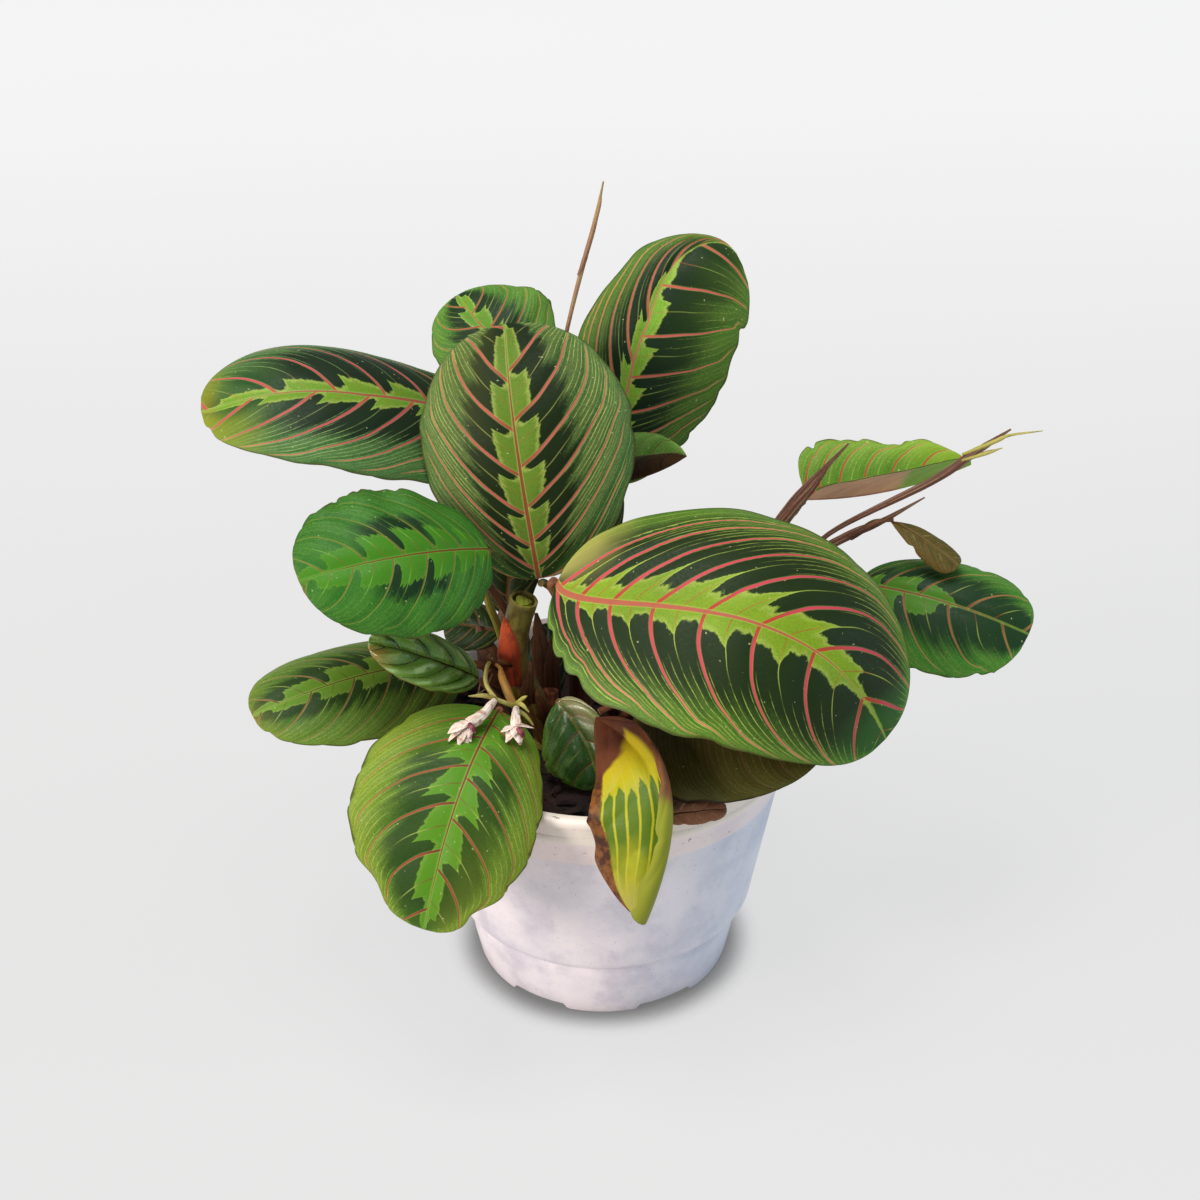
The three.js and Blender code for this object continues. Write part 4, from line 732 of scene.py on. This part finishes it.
# Small dry scraps, fibres and forked tips on the shoots: x, y, z, radius along the way.
TRIMMINGS = {
    "stalk_main": [
        ("paper", [(-33.4, -11.6, 119, 1.3), (-36.4, -13.6, 122, 2.2), (-37.6, -14.4, 125, 1.2), (-37, -14, 127, 0.3)]),
        ("paper", [(-31, -12.5, 121, 1.4), (-32.5, -14.8, 123.5, 2), (-34.5, -15.4, 126, 0.4)]),
        ("paper", [(-34, -10.5, 112, 1.6), (-37.5, -11.5, 114.5, 2), (-41, -12.5, 113.5, 0.4)]),
        ("paper", [(-33, -9, 106, 1.8), (-36.5, -11, 107, 2), (-40, -12.2, 104, 0.4)]),
        ("paper", [(-24, -6.5, 100, 3), (-25.5, -9.4, 108, 2.6), (-24.4, -10.6, 117, 1.2), (-24, -10.4, 122, 0.3)]),
        ("paper", [(-20, -5, 92, 3), (-19.5, -8.4, 99, 2.8), (-21.5, -9.6, 107, 1.4), (-22, -9.4, 111, 0.3)]),
        ("paper", [(-20, 3, 85, 3.0), (-20.5, 4, 110, 3.4), (-21.5, 5, 122, 2.4), (-22.5, 5.6, 131, 0.5)]),
        ("paper", [(-17, 2, 85, 2.6), (-17.4, 3, 108, 3.0), (-17, 4, 118, 1.8), (-16.4, 4.4, 124, 0.4)]),
        ("dry", [(-37, -14, 121, 0.3), (-40, -16, 118, 0.25), (-41.5, -17, 113, 0.15)]),
        ("dry", [(-36.5, -13.6, 119, 0.3), (-39, -15, 114, 0.25), (-43, -16.5, 112, 0.15)]),
        ("stump", [(-18.6, -1.6, 101, 1.6), (-19.4, -2, 104.4, 1.2), (-19.2, -2.2, 106, 0.4)]),
        ("stump", [(-17, -1, 101, 1.4), (-16.2, -1.4, 104, 1), (-16.4, -1.4, 105.4, 0.3)]),
    ],
    "stalk_left": [
        ("paper", [(-29, 11, 98, 2.2), (-30.5, 14, 109, 4.2), (-32, 18, 120, 4.4), (-33, 22, 129, 1.0)]),
        ("paper", [(-33, 9, 96, 2.0), (-37, 12, 104, 3.6), (-41, 16, 112, 3.4), (-43, 19, 118, 0.8)]),
        ("paper", [(-25, 9, 94, 2.0), (-26, 12, 104, 3.2), (-27.4, 15, 114, 2.6), (-28, 17, 121, 0.6)]),
    ],
    "stalk_right": [
        ("bud", [(118, 19, 183.4, 0.5), (127, 15.6, 189.6, 0.8), (132, 13.8, 193, 0.5), (142, 12, 195.4, 0.15)]),
        ("bud", [(118, 18.4, 181.6, 0.5), (125, 16, 185.4, 0.7), (130, 14.6, 188, 0.15)]),
        ("brown", [(84, 28.2, 147.6, 1.3), (90, 27.4, 152, 1.0), (94.6, 28.2, 154, 0.8), (98.4, 30, 153.4, 0.7)]),
        ("purple", [(58, 30.4, 147, 2.2), (64, 29.6, 157, 2.0), (71, 27.6, 168, 1.2), (75, 26.4, 175, 0.3)]),
    ],
    "stalk_back": [("dry", [(-8, 44.4, 236, 0.7), (-5.6, 45.4, 243, 0.8), (-1.6, 47.8, 257, 0.5), (-0.6, 48.6, 262, 0.2)])],
}


def stalk_look(kind):
    """Gradient along a stalk with lengthwise streaks and small spots."""
    if kind in STALK_LOOKS:
        return STALK_LOOKS[kind]
    low, high, streak_c = STALK_COLOURS[kind]
    net = Net("stalk_" + kind, STALK_DIM, Specular_IOR_Level=0.3)
    along, round_ = net.uv("run")
    at = net.place()
    angle = round_ * (2 * math.pi)
    ring = net.pair(net.math("COSINE", angle) * 3.5, net.math("SINE", angle) * 3.5, along * 2.5)
    streak = net.noise(ring, 1.0, 3.0, 0.6)
    spots = net.noise(at, 900, 2.0)
    patches = net.noise(at, 160, 3.0)
    colour = net.mix(net.smooth(along + (patches - 0.5) * 0.5, 0.0, 1.0), low, high)
    colour = net.mix(net.smooth(streak, 0.46, 0.6) * 0.7, colour, streak_c)
    colour = net.mix(net.smooth(patches, 0.35, 0.5, 0.5, 0.0), colour, low)
    colour = net.mix(net.smooth(spots, 0.6, 0.75) * 0.4, colour, "#2c1a10")
    STALK_LOOKS[kind] = net.finish(colour, 0.5, streak * 0.6 + spots * 0.3, 0.0004, 0.9)
    return STALK_LOOKS[kind]


def smooth_path(points, steps):
    knots = [np.array(p, float) for p in points]
    knots = [2 * knots[0] - knots[1]] + knots + [2 * knots[-1] - knots[-2]]
    path = []
    for a, b, c, d in zip(knots, knots[1:], knots[2:], knots[3:]):
        for k in range(steps):
            u = k / steps
            path.append(0.5 * (2 * b + (c - a) * u + (2 * a - 5 * b + 4 * c - d) * u * u
                               + (3 * b - a - 3 * c + d) * u ** 3))
    path.append(knots[-2])
    return path


class Tubes:
    """Collects closed tubes, each with its own look, into one mesh."""

    def __init__(self):
        self.vertices, self.faces, self.indices, self.run, self.kinds = [], [], [], [], []

    def add(self, kind, points, sides=14, steps=7, flat=1.0, rough=0.05, seed=1):
        if kind not in self.kinds:
            self.kinds.append(kind)
        path = smooth_path(points, steps)
        centres = [Vector(p[:3]) for p in path]
        across = Vector((1, 0, 0))
        start = len(self.vertices)
        last = len(path) - 1
        for i, (centre, point) in enumerate(zip(centres, path)):
            direction = (centres[min(i + 1, last)] - centres[max(i - 1, 0)]).normalized()
            across = (across - direction * across.dot(direction)).normalized()
            other = direction.cross(across)
            for k in range(sides):
                angle = 2 * math.pi * k / sides
                wobble = 1 + rough * noise.noise(centre * 0.35 + Vector((k * 0.9, seed, 0)))
                offset = across * math.cos(angle) + other * math.sin(angle) * flat
                self.vertices.append((centre + offset * point[3] * wobble) * MM)
        for end, ring in ((centres[0], 0), (centres[-1], last)):
            self.vertices.append(end * MM)
        material = self.kinds.index(kind)

        def face(corners, uv):
            self.faces.append(tuple(start + c for c in corners))
            self.indices.append(material)
            self.run.extend(uv)

        for i in range(last):
            for k in range(sides):
                m = (k + 1) % sides
                face((i * sides + k, i * sides + m, (i + 1) * sides + m, (i + 1) * sides + k),
                     [(i / last, k / sides), (i / last, (k + 1) / sides), ((i + 1) / last, (k + 1) / sides),
                      ((i + 1) / last, k / sides)])
        for k in range(sides):
            m = (k + 1) % sides
            face(((last + 1) * sides, m, k), [(0, 0.5), (0, 0.4), (0, 0.6)])
            face(((last + 1) * sides + 1, last * sides + k, last * sides + m), [(1, 0.5), (1, 0.4), (1, 0.6)])

    def cup(self, kind, points, depth, wall, sides=36):
        """A closed tube whose upper end is bored out: outer wall up, rim, and back down inside."""
        if kind not in self.kinds:
            self.kinds.append(kind)
        path = smooth_path(points, 8)
        start = len(self.vertices)
        axis = (Vector(path[-1][:3]) - Vector(path[-3][:3])).normalized()
        top = Vector(path[-1][:3])
        stages = [(Vector(p[:3]), p[3]) for p in path]
        mouth = path[-1][3]
        stages += [(top + axis * 0.25, mouth - 0.15), (top + axis * 0.3, mouth - wall * 0.6), (top, mouth - wall)]
        stages += [(top - axis * (depth * k / 3), mouth - wall - 0.15 * k) for k in (1, 2, 3)]
        across, last = Vector((1, 0, 0)), len(stages) - 1
        for i, (centre, radius) in enumerate(stages):
            ahead = stages[min(i + 1, len(path) - 1)][0]
            heading = axis if i > len(path) - 3 else (ahead - stages[max(i - 1, 0)][0]).normalized()
            across = (across - heading * across.dot(heading)).normalized()
            other = heading.cross(across)
            for k in range(sides):
                angle = 2 * math.pi * k / sides
                wobble = 1 + 0.04 * noise.noise(Vector((math.cos(angle), math.sin(angle), centre.z * 0.04)) * 1.7)
                spot = centre + (across * math.cos(angle) + other * math.sin(angle)) * radius * wobble
                self.vertices.append(spot * MM)
        self.vertices += [stages[0][0] * MM, stages[-1][0] * MM]
        material = self.kinds.index(kind)
        for i in range(last):
            u, v = min(i / (len(path) - 1), 1), min((i + 1) / (len(path) - 1), 1)
            for k in range(sides):
                m = (k + 1) % sides
                loop = (i * sides + k, i * sides + m, (i + 1) * sides + m, (i + 1) * sides + k)
                self.faces.append(tuple(start + c for c in loop))
                self.indices.append(material)
                self.run += [(u, k / sides), (u, (k + 1) / sides), (v, (k + 1) / sides), (v, k / sides)]
        for k in range(sides):
            m = (k + 1) % sides
            self.faces.append((start + (last + 1) * sides, start + m, start + k))
            self.faces.append((start + (last + 1) * sides + 1, start + last * sides + k, start + last * sides + m))
            self.indices += [material, material]
            self.run += [(0, 0.5), (0, 0.4), (0, 0.6), (1, 0.5), (1, 0.4), (1, 0.6)]

    def build(self, name):
        looks = [stalk_look(kind) for kind in self.kinds]
        piece = write_mesh(name, self.vertices, self.faces, looks, self.indices, {"run": self.run})
        piece.data.set_sharp_from_angle(angle=math.radians(50))
        return piece


def build_shoots():
    for number, (node, (foot, stalks)) in enumerate(SHOOTS.items()):
        tubes = Tubes()
        x, y, radius = foot
        tubes.add(stalks[0][0], [(x, y, 74.2, radius), (x, y, 80, radius), (x, y, 88, radius)], steps=3, rough=0.0)
        for k, (kind, points) in enumerate(stalks):
            if kind == "sheath":
                tubes.cup(kind, points, 8.5, 1.0)
                tubes.add("core", [(-28.1, -7.3, 135, 2.9), (-27.4, -7.55, 138, 3.1), (-26.25, -7.95, 142.6, 3.1),
                                   (-26.15, -7.98, 143.1, 2.6)], sides=24, rough=0.08)
                continue
            flat = FLATNESS.get(kind, 1.0)
            tubes.add(kind, points, sides=14 if flat == 1 else 20, seed=number * 10 + k, flat=flat)
        for k, (kind, points) in enumerate(TRIMMINGS.get(node, ())):
            tubes.add(kind, points, sides=10, seed=number * 10 + 20 + k, flat=FLATNESS.get(kind, 1.0), rough=0.2)
        declare(tubes.build(node + "_stems"), node)


def lathe(profile, segments):
    """Closed surface of revolution; the profile starts and ends on the axis."""
    vertices, faces = [Vector((0, 0, profile[0][1] * MM))], []
    rings = profile[1:-1]
    for r, z in rings:
        for k in range(segments):
            a = 2 * math.pi * k / segments
            vertices.append(Vector((r * math.cos(a), r * math.sin(a), z)) * MM)
    vertices.append(Vector((0, 0, profile[-1][1] * MM)))
    top = len(vertices) - 1
    for k in range(segments):
        m = (k + 1) % segments
        faces.append((0, 1 + m, 1 + k))
        for i in range(len(rings) - 1):
            a, b = 1 + i * segments, 1 + (i + 1) * segments
            faces.append((a + k, a + m, b + m, b + k))
        a = 1 + (len(rings) - 1) * segments
        faces.append((a + k, a + m, top))
    return vertices, faces


def pot_look():
    net = Net("pot_plastic", IOR=1.46)
    at = net.place()
    split = net.tree.nodes.new("ShaderNodeSeparateXYZ")
    net.put(split.inputs[0], at)
    height = Wire(net, split.outputs[2])
    broad = net.noise(at, 28, 4.0, 0.6)
    smudge = net.noise(at, 52, 5.0, 0.62)
    colour = net.mix(net.smooth(broad, 0.35, 0.7), "#ece2e4", "#d6d0d8")
    colour = net.mix(net.smooth(smudge, 0.44, 0.66) * 0.5, colour, "#b6aeba")
    # Painted reflection: the right side of the pot is tinted blue, standing in for cool light falling on that side.
    colour = net.mix(net.smooth(Wire(net, split.outputs[0]), -0.005, 0.06) * 0.55, colour, "#a6bdd8")
    # Painted light: everything above 75.5 mm is lightened towards warm pink, countering the shade under the collar and
    # the leaves.
    colour = net.mix(net.smooth(height, 0.0755, 0.0765) * 0.5, colour, "#f6ded4")
    rim = net.smooth(height, 0.0848, 0.0858)
    colour = net.mix(rim * 0.7, colour, "#e8dfcf")
    dirt = net.noise(at, 420, 4.0, 0.7)
    colour = net.mix(net.smooth(dirt, 0.64, 0.7) * net.smooth(height, 0.05, 0.09, 0.1, 0.8), colour, "#6a5648")
    specks = net.noise(at, 1500, 2.0, 0.6)
    colour = net.mix(net.smooth(specks, 0.68, 0.74) * 0.6, colour, "#4a3a30")
    rough = net.smooth(smudge, 0.3, 0.7, 0.32, 0.5)
    return net.finish(colour, rough, broad * 0.6 + smudge * 0.3, 0.0006, 0.5)


def build_pot():
    profile = [
        (0, 0), (20, 0), (39, 0), (40, 0), (42.7, 0), (44.1, 0.5), (44.6, 1.8), (46.3, 10), (47.7, 18.4), (47.85, 19.8),
        (47.5, 21), (47.5, 22), (48.4, 23), (49.9, 24.2), (51.6, 26), (52.4, 27.7), (53, 31), (57.9, 58), (61.2, 76.5),
        (62.6, 84.4), (62.8, 85), (63.9, 85.3), (64.2, 85.9), (64.35, 88.2), (64.15, 88.5), (64.45, 88.8),
        (64.65, 92.2), (65.2, 92.7), (65.9, 93.2), (66, 94), (65.9, 95), (65.4, 95.7), (64.6, 96), (63, 96),
        (62.1, 95.8), (61.65, 95.2), (61.5, 93), (60.95, 86), (56, 58), (51, 30.4), (49.4, 27), (45.7, 22),
        (44.5, 12), (42.6, 2.6), (20, 2.5), (0, 2.5),
    ]
    segments = 216
    vertices, faces = lathe(profile, segments)
    for ring in (2, 3, 4, 5, 6):
        for k in range(segments):
            angle = math.degrees(2 * math.pi * k / segments) + 90 - 29.5
            away = abs((angle + 30) % 60 - 30)
            share = min(max((14.2 - away) / 1.6, 0), 1)
            spot = vertices[1 + (ring - 1) * segments + k]
            spot.z += 1.8 * MM * share * (0.75 if ring == 6 else 1.0) * (0.0 if ring == 2 else 1.0)
    piece = write_mesh("pot_shell", vertices, faces, [pot_look()])
    cutters = []
    for i in range(6):
        angle = math.radians(29.5 + 60 * i - 90)
        bpy.ops.mesh.primitive_cylinder_add(vertices=32, radius=3.5 * MM, depth=8 * MM,
                                            location=(26 * MM * math.cos(angle), 26 * MM * math.sin(angle), 1 * MM))
        cutters.append(bpy.context.object)
    for cutter in cutters:
        cut = piece.modifiers.new("drain", "BOOLEAN")
        cut.object = cutter
        cut.operation = "DIFFERENCE"
        cut.solver = "EXACT"
    bpy.context.view_layer.update()
    shaped = bpy.data.meshes.new_from_object(piece.evaluated_get(bpy.context.evaluated_depsgraph_get()))
    piece.modifiers.clear()
    piece.data = shaped
    for cutter in cutters:
        bpy.data.objects.remove(cutter)
    shaped.polygons.foreach_set("use_smooth", [True] * len(shaped.polygons))
    shaped.set_sharp_from_angle(angle=math.radians(38))
    declare(piece, "pot")


def soil_look():
    net = Net("soil_bark")
    at = net.place()
    lump = net.noise(at, 60, 3.0)
    grain = net.noise(at, 380, 5.0, 0.7)
    colour = net.mix(net.smooth(lump, 0.35, 0.65), "#160b08", "#301810")
    colour = net.mix(net.smooth(grain, 0.5, 0.72) * 0.7, colour, "#5c3020")
    colour = net.mix(net.smooth(grain, 0.25, 0.4, 0.7, 0.0), colour, "#140c0a")
    return net.finish(colour, 0.85, grain, 0.001, 1.0)


def build_soil():
    draw = random.Random(7)
    profile = [(0, 2.9), (30, 2.9), (42.1, 2.9), (45.2, 22), (50.4, 30.1), (60, 83), (59, 83.4), (56, 83.6),
               (52, 83.8), (46, 84), (40, 84.2), (34, 84.2), (28, 84.3), (22, 84.4), (16, 84.4), (10, 84.5), (5, 84.5),
               (0, 84.5)]
    vertices, faces = lathe(profile, 96)
    feet = [foot for foot, _ in SHOOTS.values()]
    for spot in vertices:
        if spot.z > 0.0833:
            spot.z += noise.noise(spot * 140) * 1.4 * MM
    look = soil_look()
    bark = bmesh.new()
    for _ in range(420):
        distance = 57 * math.sqrt(draw.random())
        angle = draw.uniform(0, 2 * math.pi)
        x, y = distance * math.cos(angle), distance * math.sin(angle)
        size = draw.uniform(1.4, 4.6)
        if any(math.hypot(x - fx, y - fy) < radius + size * 0.9 for fx, fy, radius in feet):
            continue
        chip = bmesh.new()
        for _ in range(11):
            chip.verts.new((draw.uniform(-1.2, 1.2), draw.uniform(-0.4, 0.4), draw.uniform(-0.3, 0.3)))
        hull = bmesh.ops.convex_hull(chip, input=chip.verts)
        spare = set(hull["geom_interior"]) | set(hull["geom_unused"])
        bmesh.ops.delete(chip, geom=[g for g in spare if isinstance(g, bmesh.types.BMVert)], context="VERTS")
        bmesh.ops.bevel(chip, geom=chip.edges[:], offset=0.08, segments=1, affect="EDGES")
        turn = Matrix.Rotation(draw.uniform(0, 6.3), 4, "Z") @ Matrix.Rotation(draw.uniform(-0.5, 0.5), 4, "X")
        lift = draw.uniform(-0.15, 0.22) * size
        put = Matrix.Translation(Vector((x, y, 84.9 + lift)) * MM) @ turn @ Matrix.Scale(size * MM, 4)
        bmesh.ops.transform(chip, matrix=put, verts=chip.verts)
        mesh = bpy.data.meshes.new("chip")
        chip.to_mesh(mesh)
        bark.from_mesh(mesh)
        chip.free()
        bpy.data.meshes.remove(mesh)
    mesh = bpy.data.meshes.new("plug")
    mesh.from_pydata([tuple(v) for v in vertices], [], faces)
    bark.from_mesh(mesh)
    whole = bpy.data.meshes.new("soil_bark")
    bark.to_mesh(whole)
    bark.free()
    whole.materials.append(look)
    piece = bpy.data.objects.new("soil_bark", whole)
    bpy.context.scene.collection.objects.link(piece)
    whole.set_sharp_from_angle(angle=math.radians(30))
    declare(piece, "soil")


# Withered flowers: the tube of the flower, then where its petals end and how wide they are.
FLOWERS = [
    ("flower_left", [(-35, -35.4, 122.3, 1.0), (-38, -42, 121.8, 1.7), (-41, -45, 121.2, 2.0), (-43, -46.5, 120.8, 1.7)],
     [(-49.2, -50, 119.4, 2.1), (-49, -51.4, 117.4, 1.2), (-46, -52, 115.4, 1.4), (-44.4, -52.6, 111.4, 1.4),
      (-46, -48, 120, 2.0), (-42, -50.6, 116.6, 1.4)]),
    ("flower_right", [(-28.2, -33.4, 118.1, 1.0), (-28, -40, 119, 1.5), (-27.8, -43.6, 118.6, 1.9),
                      (-27.8, -45, 118, 1.6)],
     [(-32.6, -47, 118, 1.5), (-31, -48.8, 115.2, 1.6), (-26.4, -49.6, 114.8, 1.8), (-22, -46.6, 119.2, 1.3),
      (-25, -45.6, 120, 1.2), (-28.6, -49, 117.4, 1.3)]),
]


def build_flowers():
    stalk = Tubes()
    stalk.add("pale", [(-37, -11.6, 123.4, 0.7), (-38.2, -19, 124.2, 0.7), (-38, -27, 123.4, 0.7),
                       (-34.6, -34, 122, 0.7)])
    stalk.add("bract", [(-35.6, -14, 122.9, 0.6), (-33.8, -17.6, 123.6, 0.7), (-33, -22, 122.5, 1.3),
                        (-30.8, -27, 119.5, 1.4), (-28.6, -31, 117, 1)])
    stalk.add("pale", [(-28.6, -31, 117.4, 0.9), (-31, -33.5, 120, 0.8), (-34.6, -34, 122, 0.7)])
    for points in ([(-28.6, -31, 117.6, 0.6), (-26.4, -33, 119.4, 0.8), (-24, -35, 117.6, 0.2)],
                   [(-28.8, -31, 118, 0.6), (-26, -32, 121, 0.7), (-24.6, -33, 122.6, 0.2)],
                   [(-29, -31.4, 117, 0.6), (-25.6, -34.4, 116.4, 0.8), (-22.6, -36.4, 113.6, 0.2)]):
        stalk.add("bud", points, sides=10, rough=0.2)
    stalk.add("pale", [(-34.6, -34, 122.2, 0.7), (-38, -36, 124.6, 0.8), (-43, -38.4, 126, 0.2)], sides=10)
    declare(stalk.build("flower_stalk_pale"), "flower_stalk")
    net = Net("flower_petal", Subsurface_Weight=0.1)
    along, round_ = net.uv("run")
    at = net.place()
    streak = net.noise(net.pair(along * 2.0, round_ * 16.0), 1.0, 3.0)
    colour = net.mix(net.smooth(streak, 0.4, 0.7), "#f2e4d8", "#c89a7c")
    colour = net.mix(net.smooth(net.noise(at, 420, 3.0), 0.52, 0.7) * 0.7, colour, "#a05c3c")
    colour = net.mix(net.smooth(net.noise(at, 210, 1.0), 0.66, 0.72) * 0.8, colour, "#5a1c34")
    STALK_LOOKS["petal"] = net.finish(colour, 0.6, streak, 0.0003, 0.8)
    net = Net("flower_throat", Subsurface_Weight=0.1)
    streak = net.noise(net.place(), 700, 2.0)
    STALK_LOOKS["throat"] = net.finish(net.mix(net.smooth(streak, 0.35, 0.65), "#5a1430", "#8c4a4a"), 0.6, streak, 0.0003, 0.8)
    for node, calyx, petals in FLOWERS:
        bloom = Tubes()
        bloom.add("petal", calyx, rough=0.25)
        root = calyx[-1]
        for k, (x, y, z, wide) in enumerate(petals):
            middle = [(a + b) / 2 for a, b in zip(root, (x, y, z))]
            middle[2] += 0.9
            bloom.add("petal", [(*calyx[-2][:3], 0.5), (*middle, wide), (x, y, z, 0.25)], sides=12, flat=0.22,
                      rough=0.3, seed=40 + k)
        x, y, z = root[:3]
        bloom.add("throat", [(x + 0.6, y - 1.6, z + 1, 0.7), (x + 1.8, y - 3.4, z + 0.6, 0.9), (x + 2.4, y - 4, z - 1, 0.3)],
                  sides=10, rough=0.3)
        declare(bloom.build(node + "_petals"), node)


def area_light(name, place, target, size, power, colour):
    data = bpy.data.lights.new(name, "AREA")
    data.shape = "DISK"
    data.size = size
    data.energy = power
    data.color = colour
    lamp = bpy.data.objects.new(name, data)
    bpy.context.scene.collection.objects.link(lamp)
    lamp.location = place
    lamp.rotation_euler = (Vector(target) - Vector(place)).to_track_quat("-Z", "Y").to_euler()


def studio():
    world = bpy.data.worlds.new("studio")
    bpy.context.scene.world = world
    world.use_nodes = True
    world.node_tree.nodes["Background"].inputs[0].default_value = (0.94, 0.97, 1.0, 1)
    world.node_tree.nodes["Background"].inputs[1].default_value = 0.43
    area_light("overhead", (-0.4, -0.3, 3.0), (0, 0, 0.1), 1.8, 64, (1.0, 0.99, 0.96))
    area_light("left_warm", (-2.2, -1.6, 1.3), (0, 0, 0.1), 1.2, 62, (1.0, 0.9, 0.85))
    area_light("right_cool", (2.2, -0.2, 0.9), (0, 0, 0.1), 1.2, 8.5, (0.46, 0.75, 1.0))
    bpy.ops.mesh.primitive_plane_add(size=12)
    floor = bpy.context.object
    floor.name = "studio_floor"
    net = Net("floor_pale", Roughness=0.9)
    net.finish(net.mix(net.noise(net.place(), 3.0, 2.0), "#4c4c4c", "#525252"))
    split = net.tree.nodes.new("ShaderNodeSeparateXYZ")
    net.put(split.inputs[0], net.place())
    depth = Wire(net, split.outputs[1])
    # The floor glows, more towards the back and slightly along the front edge: painted light that keeps the shadows
    # cast on it faint.
    glow = net.smooth(depth, 0.0, 1.2, 0.665, 0.80) + net.smooth(depth, -0.4, 0.0, 0.03, 0.0)
    # Painted contact shadow: ambient occlusion within 13 mm of other surfaces dims the floor's glow, darkening it at
    # the pot's foot.
    open_sky = net.node("ShaderNodeAmbientOcclusion", {"Distance": 0.013}, output="AO", samples=8)
    glow = glow * net.smooth(open_sky, 0.42, 0.98, 0.22, 1.0)
    net.put(net.shader.inputs["Emission Color"], "#ffffff")
    net.put(net.shader.inputs["Emission Strength"], glow)
    floor.data.materials.append(net.material)
    settings = bpy.context.scene.view_settings
    settings.view_transform = "Standard"
    settings.look = "None"


camera()
studio()
build_pot()
build_soil()
build_shoots()
build_flowers()
for order, leaf_name in enumerate(LEAVES):
    build_leaf(leaf_name, order)

bpy.context.view_layer.update()
